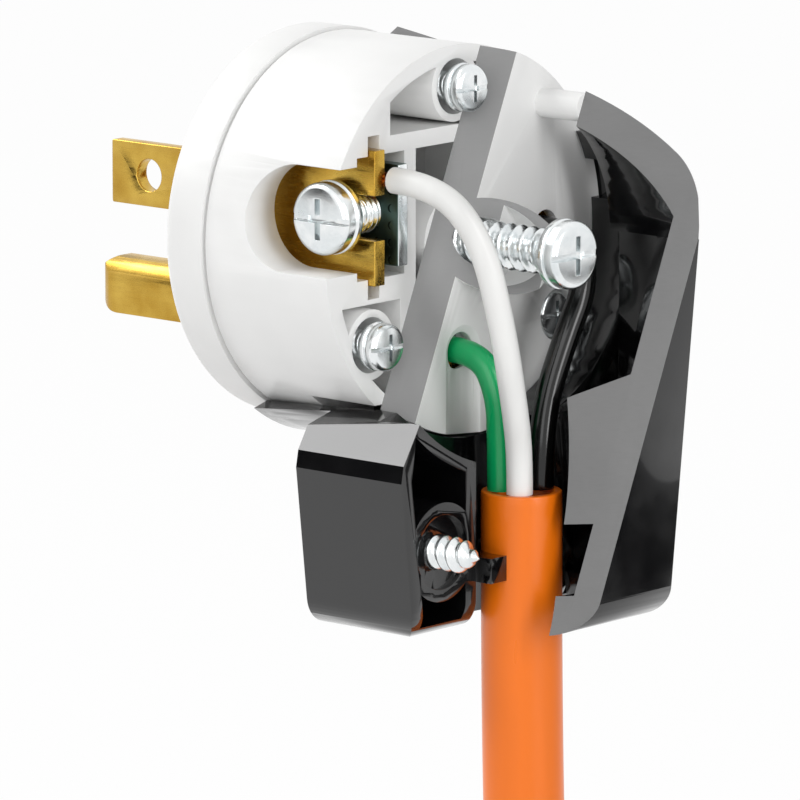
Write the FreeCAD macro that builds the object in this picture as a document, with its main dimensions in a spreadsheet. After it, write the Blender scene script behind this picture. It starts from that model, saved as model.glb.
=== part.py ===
"""Angled three-pin mains plug, shown cut away so that its inside can be seen.

Frame: the origin is the middle of the plug's front face, which lies against the outlet.
The blades point to -X, the covers lie behind the front body towards +X, the cord hangs
down -Z, and the neutral terminal, the near one in the cutaway, is on the -Y side.
All sizes are in millimetres.
"""
import FreeCAD, Part
import math
import os
import re
import Sketcher
from FreeCAD import Placement, Rotation, Vector

doc = FreeCAD.newDocument("angle_plug")

# Driving sizes: one word, one number and what it is.
SIZES = [
    ("nose_length", 21.0, "front body, outlet face to rim"),
    ("nose_radius", 19.2, "front body, outside"),
    ("flange_radius", 19.5, "band at the front of the body"),
    ("flange_length", 5.0, "length of that band"),
    ("crease_width", 0.35, "groove behind the band"),
    ("crease_depth", 0.4, "depth of that groove"),
    ("nose_edge", 1.0, "rounding of the front edge"),
    ("nose_wall", 1.7, "wall of the front body"),
    ("flat_drop", 15.0, "axis to the flat underneath the body"),
    ("flat_length", 8.2, "length of that flat, from the rim"),
    ("blade_pitch", 12.7, "distance between the two flat blades"),
    ("blade_height", 3.6, "blades' middle above the body's axis"),
    ("blade_width", 6.35, "blade, top to bottom"),
    ("blade_thickness", 1.5, "blade and terminal sheet"),
    ("blade_reach", 18.6, "blade beyond the outlet face"),
    ("blade_bevel", 0.45, "bevel round the blade's tip"),
    ("blade_hole", 3.3, "hole through the blade"),
    ("blade_hole_reach", 13.2, "outlet face to that hole"),
    ("pin_reach", 25.0, "earth pin beyond the outlet face"),
    ("pin_drop", 9.1, "axis to the middle of the earth pin"),
    ("pin_width", 4.8, "earth pin, side to side"),
    ("pin_height", 5.8, "earth pin, top to bottom"),
    ("pin_fold", 1.5, "gap in the folded pin"),
    ("pattern_step", 3.6, "clamped wire to terminal screw"),
    ("earth_screw_side", 1.8, "earth screw beside the middle plane"),
    ("plate_offset", 12.9, "axis plane to the outer face of a terminal plate"),
    ("plate_front", 8.7, "outlet face to the bend of the terminal plate"),
    ("plate_overhang", 0.8, "terminal plate beyond the rim"),
    ("plate_half_height", 6.65, "half the height of a terminal plate"),
    ("screw_setback", 3.2, "rim back to the terminal screws"),
    ("thread_play", 0.1, "play round a screw's thread"),
    ("head_play", 0.2, "play round a screw's head"),
    ("strand_radius", 0.75, "bare strands of a conductor"),
    ("strand_length", 6.0, "bare end of a conductor"),
    ("clamp_thickness", 1.4, "pressure plate"),
    ("clamp_half_height", 5.0, "half the height of a pressure plate"),
    ("clamp_length", 7.6, "length of a pressure plate"),
    ("clamp_overhang", 1.2, "pressure plate beyond the rim"),
    ("terminal_head_radius", 3.65, "terminal screw head"),
    ("terminal_head_height", 2.7, "terminal screw head"),
    ("terminal_thread_radius", 2.1, "terminal screw thread"),
    ("screw_end", 0.2, "terminal screw beyond its pressure plate"),
    ("screw_slack", 1.2, "terminal screw's head off its plate"),
    ("chamber_outer", 14.6, "axis plane to the outer wall of a terminal chamber"),
    ("chamber_inner", 7.6, "axis plane to the inner wall of a terminal chamber"),
    ("chamber_half_height", 6.05, "half the height of a terminal chamber"),
    ("window_half_height", 5.2, "half the height of the screw window"),
    ("window_setback", 5.5, "rim to the middle of the window's round end"),
    ("plate_gap", 0.1, "play round a terminal plate"),
    ("window_ledge", 0.5, "screw window into the chamber's outer wall"),
    ("side_pocket_ledge", 2.1, "top pocket beyond a chamber's inner wall"),
    ("low_pocket_wall", 0.6, "wall between a low pocket and the ground chamber"),
    ("plate_slot_half_height", 8.0, "half the height of the plate's slot"),
    ("floor_depth", 12.5, "rim to the floor of the terminal chambers"),
    ("pocket_depth", 9.0, "rim to the floor of the open pockets"),
    ("hub_radius", 4.6, "hub for the centre screw"),
    ("boss_radius", 3.5, "bosses for the assembly screws"),
    ("boss_bore", 2.75, "bore of those bosses"),
    ("boss_bore_depth", 6.0, "depth of that bore"),
    ("top_screw_height", 15.1, "top assembly screw above the axis"),
    ("low_screw_side", 12.6, "lower assembly screws beside the middle plane"),
    ("low_screw_drop", 8.9, "lower assembly screws below the axis"),
    ("small_head_radius", 2.4, "assembly screw head"),
    ("small_head_height", 2.2, "assembly screw head"),
    ("small_thread_radius", 1.45, "assembly screw thread"),
    ("small_screw_length", 14.0, "assembly screw below its head"),
    ("centre_head_radius", 3.45, "centre screw head"),
    ("centre_head_height", 2.5, "centre screw head"),
    ("centre_thread_radius", 2.3, "centre screw thread"),
    ("centre_screw_length", 20.0, "centre screw below its head"),
    ("centre_head_back", 15.7, "rim to the top of the centre screw"),
    ("centre_tip", 2.0, "centre screw's pointed end"),
    ("disc_radius", 19.1, "terminal cover"),
    ("disc_thickness", 2.6, "terminal cover"),
    ("hub_height", 5.9, "hub of the terminal cover"),
    ("hub_shelf", 1.97, "floor of that hub's wide bore above the terminal cover"),
    ("hub_foot", 4.3, "radius of that hub at its foot"),
    ("hub_top", 5.2, "radius of that hub at its top"),
    ("hub_bore", 2.45, "bore of that hub"),
    ("hub_counterbore", 4.1, "wide end of that bore"),
    ("relief_depth", 1.35, "room in the terminal cover for a terminal"),
    ("peg_radius", 1.45, "locating peg on the terminal cover"),
    ("peg_side", 10.4, "that peg beside the middle plane"),
    ("peg_height", 12.6, "that peg above the axis"),
    ("wire_hole_radius", 1.85, "wire holes in the terminal cover"),
    ("channel_radius", 4.4, "channel below the earth wire's hole"),
    ("channel_depth", 0.85, "depth of that channel"),
    ("covers_gap", 5.4, "terminal cover to the plane where the black covers meet"),
    ("cap_radius", 17.6, "rear cover, outside"),
    ("cap_inner", 14.1, "rear cover, inside at the top"),
    ("cap_length", 10.35, "rear cover, front to back"),
    ("back_wall", 2.1, "rear cover's back wall"),
    ("cover_edge", 3.0, "rounding of the black covers"),
    ("side_wall", 2.0, "side walls of the black covers"),
    ("side_half_width", 19.73, "black covers' half width, taken at the axis' height"),
    ("side_draft", 0.117, "how far the sides close in for each millimetre down"),
    ("back_draft", 0.4248, "how far the rear cover closes in for each millimetre back"),
    ("neck_drop", 37.0, "axis to the bottom of the cord neck"),
    ("neck_front", 13.6, "cord neck in front of the plane where the covers meet"),
    ("neck_top", 15.4, "axis to the ridge of the neck's shoulder"),
    ("shoulder_width", 2.45, "slope of that shoulder, across"),
    ("shoulder_drop", 3.9, "that slope, down"),
    ("brow_width", 0.32, "narrow facet below the shoulder, across"),
    ("brow_drop", 1.7, "that facet, down"),
    ("ledge_rise", 0.1, "how far the near top rises for each millimetre back"),
    ("ledge_tilt", 0.256, "how far it drops for each millimetre outwards"),
    ("near_seat_radius", 21.3, "near seat behind the terminal cover"),
    ("collar_front", 5.15, "outlet face to the collar's front edge"),
    ("collar_front_wall", 1.55, "collar's wall at its front edge"),
    ("collar_rim_wall", 0.45, "collar's wall at the rim"),
    ("collar_gap", 0.15, "play between the collar and the body"),
    ("lip_radius", 17.8, "inside of the far lip that holds the terminal cover"),
    ("lip_top", 9.2, "axis to the top of that lip"),
    ("lip_notch_low", 2.3, "axis to the lower end of the notch in that lip"),
    ("lip_notch_high", 6.3, "axis to the upper end of that notch"),
    ("cord_back", 0.6, "cord's axis behind the plane where the covers meet"),
    ("cord_radius", 4.0, "cord jacket"),
    ("jacket_drop", 24.0, "axis to the upper end of the jacket"),
    ("throat_radius", 6.2, "round throat for the cord in the front cover"),
    ("rear_throat_top", 7.15, "throat in the rear cover, at the recess"),
    ("rear_throat_bottom", 8.2, "that throat, just below the neck"),
    ("saddle_back", 12.6, "axis to the back of the cord saddle's sloping top"),
    ("saddle_slope", 0.54, "how far that top drops for each millimetre forwards"),
    ("saddle_bottom", 26.6, "axis to the underside of the saddle"),
    ("saddle_hollow_top", 4.2, "radius of the saddle's hollow at its top"),
    ("saddle_hollow_low", 5.9, "radius of that hollow at the saddle's underside"),
    ("recess_bottom", 33.3, "axis to the floor of the recess below the saddle"),
    ("recess_half_width", 8.6, "half the width of that recess"),
    ("recess_extra", 0.2, "that recess into the back wall"),
    ("tongue_top", 29.8, "axis to the top of the cord tongue"),
    ("tongue_bottom", 32.3, "axis to its underside"),
    ("tongue_wrap", 1.3, "tongue beyond the cord's axis"),
    ("grip_inset", 8.58, "cover screws inside the covers' half width"),
    ("grip_drop", 28.6, "axis to the cover screws"),
    ("grip_reach", 4.6, "cover screw's tip behind the plane where the covers meet"),
    ("grip_thread_radius", 1.75, "cover screw thread"),
    ("grip_tip", 2.5, "cover screw's pointed end"),
    ("grip_head_radius", 3.0, "cover screw head"),
    ("grip_head_height", 2.2, "cover screw head"),
    ("grip_head_depth", 3.0, "head below the front of the neck"),
    ("grip_boss", 4.9, "boss round a cover screw"),
    ("grip_recess_radius", 3.7, "round recess in the end of that boss"),
    ("grip_recess_depth", 0.6, "depth of that recess"),
    ("pocket_floor", 10.0, "hollow of the neck, from the plane where the covers meet"),
    ("pocket_wall", 1.5, "sides of that hollow"),
    ("pocket_bottom", 1.2, "bottom wall of that hollow"),
    ("pocket_rim", 1.2, "wall between that hollow and the near seat"),
    ("conductor_radius", 1.3, "insulated conductor"),
    ("conductor_ring", 2.1, "conductors from the cord's axis, inside the jacket"),
    ("section_side", -4.45, "section plane beside the axis, at the rim"),
    ("section_slope", 1.07, "how far that plane runs to +Y for each millimetre back"),
    ("section_lean", 0.4363, "how far it runs to +Y for each millimetre up"),
    ("collar_cut_side", -30.28, "collar's section plane beside the axis, at the outlet face"),
    ("collar_cut_slope", 0.742, "how far that plane runs to +Y for each millimetre back"),
    ("collar_cut_lean", 1.95, "how far it runs to +Y for each millimetre up"),
    ("overshoot", 1.0, "how far a cutting tool reaches past what it cuts"),
    ("far", 60.0, "a length that reaches outside the plug"),
]

sheet = doc.addObject("Spreadsheet::Sheet", "Sizes")
for row, (word, number, note) in enumerate(SIZES, start=1):
    sheet.set(f"A{row}", word)
    sheet.set(f"B{row}", str(number))
    sheet.set(f"C{row}", note)
    sheet.setAlias(f"B{row}", word)
doc.recompute()
WORDS = {word for word, number, note in SIZES}
# Two places nearer than this are the same place.
TOUCH = 1e-6

# Places that several pieces share, as expressions on those sizes.
PARTING = "(nose_length + disc_thickness + covers_gap)"
BACK = f"({PARTING} + cap_length)"
CORD_X = f"({PARTING} + cord_back)"
WIRE = "(plate_offset - blade_thickness - strand_radius)"
CLAMP = "(plate_offset - blade_thickness - 2 * strand_radius)"
SCREW_X = "(nose_length - screw_setback)"
PLATE_END = "(nose_length + plate_overhang)"
NECK_FRONT = f"({PARTING} - neck_front)"
COLLAR_INNER = "(nose_radius + collar_gap)"
COLLAR_RIM = f"({COLLAR_INNER} + collar_rim_wall)"
PLATE_BACK = "(nose_length + disc_thickness)"
WIRE_START = "(nose_length + clamp_overhang + plate_gap)"
GRIP_SIDE = "(side_half_width - grip_inset)"
# Corners of the neck's outline, from the bottom up: half widths and drops below the axis.
NARROW = "(side_half_width - side_draft * neck_drop)"
SHOULDER_LOW = "(neck_top + shoulder_drop)"
BROW_LOW = f"({SHOULDER_LOW} + brow_drop)"
BROW_SIDE = f"(side_half_width - side_draft * {BROW_LOW})"
SHOULDER_SIDE = f"({BROW_SIDE} - brow_width)"
RIDGE_SIDE = f"({SHOULDER_SIDE} - shoulder_width)"

# Turns that lay a piece's own +X along another direction.
ALONG = {
    "x": Rotation(),
    "-x": Rotation(Vector(0, 0, 1), 180),
    "y": Rotation(Vector(0, 0, 1), 90),
    "-y": Rotation(Vector(0, 0, 1), -90),
    "z": Rotation(Vector(0, 1, 0), -90),
    "-z": Rotation(Vector(0, 1, 0), 90),
}
# A cylinder's own axis is Z.
CYLINDER_ALONG = {
    "x": Rotation(Vector(0, 1, 0), 90),
    "y": Rotation(Vector(1, 0, 0), -90),
    "z": Rotation(),
}


def bound(text):
    """The expression with each size's word pointing at its cell."""
    def point(match):
        word = match.group()
        return f"Sizes.{word}" if word in WORDS else word
    return re.sub(r"[a-z][a-z_]*", point, str(text))


def value(text):
    """The number that an expression gives now."""
    return float(sheet.evalExpression(bound(text)))


def place(feature, start):
    """Binds a feature's position to three expressions."""
    for axis, text in zip("xyz", start):
        feature.setExpression(f"Placement.Base.{axis}", bound(text))


def block(label, low, high):
    """A box between two corners."""
    feature = doc.addObject("Part::Box", label)
    for side, start, end in zip(("Length", "Width", "Height"), low, high):
        feature.setExpression(side, bound(f"({end}) - ({start})"))
    place(feature, low)
    return feature


def rod(label, along, start, radius, length):
    """A cylinder that starts at a point and runs along an axis."""
    feature = doc.addObject("Part::Cylinder", label)
    feature.Placement = Placement(Vector(), CYLINDER_ALONG[along])
    feature.setExpression("Radius", bound(radius))
    feature.setExpression("Height", bound(length))
    place(feature, start)
    return feature


def cone(label, along, start, first_radius, second_radius, length):
    """A cone that starts at a point and runs along an axis."""
    feature = doc.addObject("Part::Cone", label)
    feature.Placement = Placement(Vector(), CYLINDER_ALONG[along])
    feature.setExpression("Radius1", bound(first_radius))
    feature.setExpression("Radius2", bound(second_radius))
    feature.setExpression("Height", bound(length))
    place(feature, start)
    return feature


def fuse(label, pieces):
    feature = doc.addObject("Part::MultiFuse", label)
    feature.Shapes = pieces
    return feature


def common(label, pieces):
    feature = doc.addObject("Part::MultiCommon", label)
    feature.Shapes = pieces
    return feature


def cut(label, base, tools):
    """The base less its tools."""
    feature = doc.addObject("Part::Cut", label)
    feature.Base = base
    feature.Tool = tools[0] if len(tools) == 1 else fuse(label + "_tools", tools)
    return feature


def mirrored(label, piece):
    """The piece's mirror image across the middle plane."""
    feature = doc.addObject("Part::Mirroring", label)
    feature.Source = piece
    feature.Normal = Vector(0, 1, 0)
    return feature


def draw(sketch, outline):
    """A closed outline of straight lines; each corner is a pair of expressions."""
    corners = [Vector(value(across), value(up), 0) for across, up in outline]
    count = len(corners)
    for index in range(count):
        sketch.addGeometry(Part.LineSegment(corners[index], corners[(index + 1) % count]))
    for index in range(count):
        sketch.addConstraint(Sketcher.Constraint("Coincident", index, 2, (index + 1) % count, 1))
    for index, (across, up) in enumerate(outline):
        for kind, text in (("DistanceX", across), ("DistanceY", up)):
            datum = Sketcher.Constraint(kind, -1, 1, index, 1, value(text))
            number = sketch.addConstraint(datum)
            sketch.setExpression(f"Constraints[{number}]", bound(text))


def sketched(body, label, role, outline):
    """A sketch on one of the body's own planes."""
    sketch = body.newObject("Sketcher::SketchObject", label)
    plane = next(item for item in body.Origin.OriginFeatures if item.Role == role)
    sketch.AttachmentSupport = [(plane, "")]
    sketch.MapMode = "FlatFace"
    draw(sketch, outline)
    return sketch


def turned(label, outline):
    """A body turned about X; each corner of the outline is (along, radius)."""
    body = doc.addObject("PartDesign::Body", label)
    sketch = sketched(body, label + "_outline", "XY_Plane", outline)
    feature = body.newObject("PartDesign::Revolution", label + "_turn")
    feature.Profile = sketch
    feature.ReferenceAxis = (sketch, ["H_Axis"])
    feature.Angle = 360
    body.Tip = feature
    doc.recompute()
    return body


def rounded(body, label, size, chosen):
    """A fillet on the body's edges for which chosen says yes."""
    base = body.Tip
    found = enumerate(base.Shape.Edges, start=1)
    names = [f"Edge{number}" for number, edge in found if chosen(edge)]
    feature = body.newObject("PartDesign::Fillet", label)
    feature.Base = (base, names)
    feature.setExpression("Radius", bound(size))
    body.Tip = feature
    doc.recompute()
    return body


# A screw's proportions: of its head's radius, of its head's height, and of its thread's radius.
FLAT_TOP, SHOULDER = 0.8, 0.3
BAR_HALF, CROSS_REACH, SLOT_REACH = 0.13, 0.62, 1.1
SLOT_DEPTH, CROSS_DEPTH = 0.3, 0.5
CORE = 0.72


def screw(label, along, at, head, thread, length, tip="0", rings=0):
    """A pan screw whose head's top is at the given point; its tip lies along the given way.

    The head has a cross and a slot. rings adds that many coarse ridges along the shank.
    """
    head_radius, head_height = head
    core = thread if not rings else f"{CORE} * ({thread})"
    shank_end = f"({head_height}) + ({length})"
    outline = [
        ("0", "0"), ("0", f"{FLAT_TOP} * ({head_radius})"),
        (f"{SHOULDER} * ({head_height})", head_radius), (head_height, head_radius), (head_height, core)]
    for ring in range(rings):
        step = f"(({length}) - ({tip})) / {rings}"
        outline.append((f"({head_height}) + ({ring} + 0.25) * {step}", core))
        outline.append((f"({head_height}) + ({ring} + 0.5) * {step}", thread))
        outline.append((f"({head_height}) + ({ring} + 0.75) * {step}", core))
    outline.append((f"({shank_end}) - ({tip})", core))
    outline.append((shank_end, "0"))
    body = turned(label + "_blank", outline)
    reach = f"{CROSS_REACH} * ({head_radius})"
    bar = f"{BAR_HALF} * ({head_radius})"
    slot_side = f"{SLOT_REACH} * ({head_radius})"
    deep = f"{CROSS_DEPTH} * ({head_height})"
    slot = block(label + "_slot", ("-overshoot", f"-({slot_side})", f"-({bar})"),
                 (f"{SLOT_DEPTH} * ({head_height})", slot_side, bar))
    cross = block(label + "_cross", ("-overshoot", f"-({bar})", f"-({reach})"), (deep, bar, reach))
    across = block(label + "_across", ("-overshoot", f"-({reach})", f"-({bar})"), (deep, reach, bar))
    feature = cut(label, body, [slot, cross, across])
    feature.Placement = Placement(Vector(), along)
    place(feature, at)
    return feature


def checked_cut(label, base, tools):
    """A cut that has to take something away."""
    feature = cut(label, base, tools)
    doc.recompute()
    if not feature.Shape.Volume < base.Shape.Volume - TOUCH:
        raise RuntimeError(f"{label} cuts nothing")
    return feature


# The three terminals share one pattern, drawn for the near one and turned about X.
# In it, out is the distance from the axis towards -Y and side is the height.
QUARTER_TURN = Rotation(Vector(0, -1, 0), Vector(0, 0, -1))
TERMINALS = {
    "neutral": (Rotation(), "blade_height"),
    "hot": (QUARTER_TURN.multiply(QUARTER_TURN), "-blade_height"),
    "ground": (QUARTER_TURN, "-earth_screw_side"),
}


def spun(feature, turn):
    """Turns a boolean of the pattern about X to its own terminal."""
    feature.Placement = Placement(Vector(), turn)
    return feature


def group(label, pieces):
    """Several shapes as one, so that they can be turned together."""
    feature = doc.addObject("Part::Compound", label)
    feature.Links = pieces
    return feature


def pattern_point(name, out, side):
    """Where the pattern's point comes to lie for one terminal, as expressions for Y and Z."""
    places = {
        "neutral": (f"-({out})", side),
        "hot": (out, f"-({side})"),
        "ground": (f"-({side})", f"-({out})"),
    }
    return places[name]


def terminal_room(name, turn, side):
    """The space that a terminal needs in the front body."""
    rim = "nose_length + overshoot"
    floor = "nose_length - floor_depth"
    round_end = "nose_length - window_setback"
    window = block(name + "_window", (round_end, "-far", f"({side}) - window_half_height"),
                   (rim, "-chamber_outer + window_ledge", f"({side}) + window_half_height"))
    window_end = rod(name + "_window_end", "y", (round_end, "-far", side), "window_half_height",
                     "far - chamber_outer + window_ledge")
    chamber = block(name + "_chamber", (floor, "-chamber_outer", f"({side}) - chamber_half_height"),
                    (rim, "-chamber_inner", f"({side}) + chamber_half_height"))
    slot = block(name + "_plate_slot",
                 (floor, "-plate_offset - plate_gap", f"({side}) - plate_slot_half_height"),
                 (rim, "-plate_offset + blade_thickness + plate_gap", f"({side}) + plate_slot_half_height"))
    return spun(fuse(name + "_room", [window, window_end, chamber, slot]), turn)


def terminal_plate(name, side):
    """The upright sheet of a terminal, with the open slot for its screw."""
    sheet_plate = block(name + "_sheet", ("plate_front", "-plate_offset", f"({side}) - plate_half_height"),
                        (PLATE_END, "-plate_offset + blade_thickness", f"({side}) + plate_half_height"))
    gap = "terminal_thread_radius + plate_gap"
    outer = "-plate_offset - overshoot"
    slot = block(name + "_slot", (SCREW_X, outer, f"({side}) - ({gap})"),
                 (f"{PLATE_END} + overshoot", "-plate_offset + blade_thickness + overshoot",
                  f"({side}) + ({gap})"))
    slot_end = rod(name + "_slot_end", "y", (SCREW_X, outer, side), gap, "blade_thickness + 2 * overshoot")
    return cut(name + "_plate", sheet_plate, [slot, slot_end])


def flat_blade(name, turn, side):
    """A flat blade, its bend and its terminal plate, stamped from one strip of brass."""
    body = doc.addObject("PartDesign::Body", name + "_blade_strip")
    bend = "plate_front + blade_thickness"
    low, high = f"({side}) - blade_width / 2", f"({side}) + blade_width / 2"
    outline = [("-blade_reach", low), (bend, low), (bend, high), ("-blade_reach", high)]
    sketch = sketched(body, name + "_blade_outline", "XZ_Plane", outline)
    pad = body.newObject("PartDesign::Pad", name + "_blade_pad")
    pad.Profile = sketch
    pad.Midplane = True
    pad.setExpression("Length", bound("blade_thickness"))
    body.Tip = pad
    doc.recompute()
    tip = -value("blade_reach")
    names = [f"Edge{number}" for number, edge in enumerate(pad.Shape.Edges, start=1)
             if all(abs(corner.X - tip) < TOUCH for corner in edge.Vertexes)]
    bevel = body.newObject("PartDesign::Chamfer", name + "_blade_bevel")
    bevel.Base = (pad, names)
    bevel.setExpression("Size", bound("blade_bevel"))
    body.Tip = bevel
    place(body, ("0", "-blade_pitch / 2", "0"))
    web = block(name + "_web", ("plate_front", "-plate_offset", low), (bend, "-blade_pitch / 2", high))
    whole = fuse(name + "_whole", [body, web, terminal_plate(name, side)])
    hole = rod(name + "_hole", "y", ("-blade_hole_reach", "-plate_offset", side), "blade_hole / 2",
               "plate_offset")
    return spun(cut(name + "_blade", whole, [hole]), turn)


def earth_pin():
    """The folded earth pin, its bend and its terminal plate.

    The pin's section is an arch: a round crown on two legs, with the fold's gap between
    them. Its tip is rounded all over.
    """
    low = "-pin_drop - pin_height / 2"
    crown = "-pin_drop + pin_height / 2 - pin_width / 2"
    bend = "plate_front + blade_thickness"
    legs = block("ground_legs", ("-pin_reach", "-pin_width / 2", low), (bend, "pin_width / 2", crown))
    arch = rod("ground_arch", "x", ("-pin_reach", "0", crown), "pin_width / 2", f"pin_reach + {bend}")
    bar = fuse("ground_bar", [legs, arch])
    ball = rod("ground_tip", "y", ("-pin_reach + pin_height / 2", "-pin_width", "-pin_drop"),
               "pin_height / 2", "2 * pin_width")
    behind = block("ground_behind", ("-pin_reach + pin_height / 2", "-pin_width", "-far"),
                   ("far", "pin_width", "far"))
    nose = rod("ground_nose", "z", ("-pin_reach + pin_width / 2", "0", "-far"), "pin_width / 2", "2 * far")
    shaft = block("ground_shaft", ("-pin_reach + pin_width / 2", "-pin_width", "-far"),
                  ("far", "pin_width", "far"))
    side_shape = fuse("ground_side_shape", [ball, behind])
    top_shape = fuse("ground_top_shape", [nose, shaft])
    shaped = common("ground_shaped", [bar, side_shape, top_shape])
    fold = block("ground_fold", ("-far", "-pin_fold / 2", f"({low}) - overshoot"),
                 ("plate_front", "pin_fold / 2", f"{low} + pin_height / 2"))
    folded = cut("ground_folded", shaped, [fold])
    turn, side = TERMINALS["ground"]
    plate = spun(terminal_plate("ground", side), turn)
    web = block("ground_web", ("plate_front", "-pin_width / 2", "-plate_offset"),
                (bend, "pin_width / 2", low))
    return fuse("ground_pin", [folded, web, plate])


def pressure_plate(name, turn, side):
    """The tapped plate that the terminal screw pulls against the strands."""
    start = f"{SCREW_X} - clamp_length + screw_setback + clamp_overhang"
    plate = block(name + "_clamp_blank", (start, f"-({CLAMP})", f"({side}) - clamp_half_height"),
                  ("nose_length + clamp_overhang", f"-({CLAMP}) + clamp_thickness",
                   f"({side}) + clamp_half_height"))
    hole = rod(name + "_clamp_hole", "y", (SCREW_X, f"-({CLAMP}) - overshoot", side),
               "terminal_thread_radius", "clamp_thickness + 2 * overshoot")
    return spun(cut(name + "_clamp_plate", plate, [hole]), turn)


def strands(name, side):
    """The bare end of a conductor, gripped between its two plates."""
    feature = doc.addObject("Part::Cylinder", name + "_strands")
    feature.Placement = Placement(Vector(), CYLINDER_ALONG["x"])
    feature.setExpression("Radius", bound("strand_radius"))
    feature.setExpression("Height", bound("strand_length"))
    across, up = pattern_point(name, WIRE, f"({side}) + pattern_step")
    place(feature, (f"{WIRE_START} - strand_length", across, up))
    return feature


def terminal_screw(name, turn, side):
    """The screw that pulls the pressure plate up; here it is loosened a little."""
    across, up = pattern_point(name, "plate_offset + screw_slack + terminal_head_height", side)
    length = f"plate_offset + screw_slack - ({CLAMP}) + clamp_thickness + screw_end"
    return screw(name + "_terminal_screw", turn.multiply(ALONG["y"]), (SCREW_X, across, up),
                 ("terminal_head_radius", "terminal_head_height"), "terminal_thread_radius", length)


pieces = []

# Brass and steel of the three terminals.
blade_of = {}
for name, (turn, side) in TERMINALS.items():
    blade_of[name] = earth_pin() if name == "ground" else flat_blade(name, turn, side)
    pieces += [blade_of[name], pressure_plate(name, turn, side), terminal_screw(name, turn, side),
               strands(name, side)]

# Where the three screws sit that hold the terminal cover to the body.
ASSEMBLY_SCREWS = {
    "assembly_screw_top": ("0", "top_screw_height"),
    "assembly_screw_near": ("-low_screw_side", "-low_screw_drop"),
    "assembly_screw_far": ("low_screw_side", "-low_screw_drop"),
}


def tilted_block(label, point, outward):
    """A block on the outward side of a plane through a point."""
    feature = doc.addObject("Part::Box", label)
    for side in ("Length", "Width", "Height"):
        feature.setExpression(side, bound("3 * far"))
    turn = Rotation(Vector(1, 0, 0), outward)
    half = 1.5 * value("far")
    feature.Placement = Placement(point + turn.multVec(Vector(0, -half, -half)), turn)
    return feature


def main_section(label):
    """All that the cutaway takes off the terminal cover and the rear cover."""
    outward = Vector(value("section_slope"), -1, value("section_lean"))
    return tilted_block(label, Vector(value("nose_length"), value("section_side"), 0), outward)


def collar_section(label):
    """All that the cutaway takes off the front cover's collar."""
    outward = Vector(value("collar_cut_slope"), -1, value("collar_cut_lean"))
    return tilted_block(label, Vector(0, value("collar_cut_side"), 0), outward)


def outside_sides(label, inset):
    """The two blocks outside the rear cover's drafted sides, which close in downwards and backwards."""
    blocks = []
    for name, sign in (("near", -1), ("far", 1)):
        point = Vector(value(PARTING), sign * value(f"side_half_width - ({inset})"), 0)
        outward = Vector(value("back_draft"), sign, -value("side_draft"))
        blocks.append(tilted_block(f"{label}_{name}", point, outward))
    return blocks


def nose_body():
    """The white front body: a turned cup with rooms for the terminals, pockets and bosses."""
    crease_end = "flange_length + crease_width"
    blank = turned("nose_blank", [
        ("0", "0"), ("0", "flange_radius"), ("flange_length", "flange_radius"),
        ("flange_length", "nose_radius - crease_depth"), (crease_end, "nose_radius - crease_depth"),
        (crease_end, "nose_radius"), ("nose_length", "nose_radius"), ("nose_length", "0")])
    rounded(blank, "nose_front_round", "nose_edge", lambda edge: all(
        abs(corner.X) < TOUCH for corner in edge.Vertexes) and edge.Length > value("nose_radius"))
    inner = "nose_radius - nose_wall"
    floor = "nose_length - pocket_depth"
    under_floor = f"({floor}) - overshoot"
    depth = "pocket_depth + overshoot"
    rim = "nose_length + overshoot"
    rib_low = "blade_height + chamber_half_height"
    rib_high = f"({rib_low}) + nose_wall"
    room_low = "blade_height - plate_slot_half_height - window_ledge"
    top_side = "chamber_inner + side_pocket_ledge"
    top = common("nose_top_pocket", [
        rod("nose_hollow", "x", (floor, "0", "0"), inner, depth),
        block("nose_top_space", (floor, f"-({top_side})", rib_high), (rim, top_side, "far"))])
    low_side = "-chamber_inner - low_pocket_wall"
    low = common("nose_low_pocket", [
        rod("nose_low_hollow", "x", (floor, "0", "0"), inner, depth),
        block("nose_low_space", (floor, "-far", "-far"), (rim, low_side, room_low))])
    far_low = mirrored("nose_far_pocket", low)
    middle_side = "chamber_inner - nose_wall"
    middle_space = block("nose_middle_space", (floor, f"-({middle_side})", f"-({middle_side})"),
                         (rim, middle_side, rib_low))
    middle = cut("nose_middle_pocket", middle_space,
                 [rod("nose_hub", "x", (under_floor, "0", "0"), "hub_radius", "far")])
    bosses = fuse("nose_bosses", [
        rod(label + "_boss", "x", (under_floor, across, up), "boss_radius", "far")
        for label, (across, up) in ASSEMBLY_SCREWS.items()])
    pockets = cut("nose_pockets", fuse("nose_all_pockets", [top, low, far_low, middle]), [bosses])
    bores = []
    tip = f"{PLATE_BACK} - small_head_height - small_screw_length"
    for label, (across, up) in ASSEMBLY_SCREWS.items():
        bores.append(rod(label + "_bore", "x", ("nose_length - boss_bore_depth", across, up), "boss_bore",
                         "boss_bore_depth + overshoot"))
        bores.append(rod(label + "_pilot", "x", (tip, across, up), "small_thread_radius", "far"))
    centre_tip = "nose_length + centre_head_back - centre_head_height - centre_screw_length"
    centre = rod("centre_pilot", "x", (centre_tip, "0", "0"), "centre_thread_radius", "far")
    flat = block("nose_flat", ("nose_length - flat_length", "-far", "-far"), (rim, "far", "-flat_drop"))
    rooms = [terminal_room(name, turn, side) for name, (turn, side) in TERMINALS.items()]
    tools = [pockets, flat, centre] + bores + rooms + list(blade_of.values())
    return checked_cut("nose_body", blank, tools)


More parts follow.
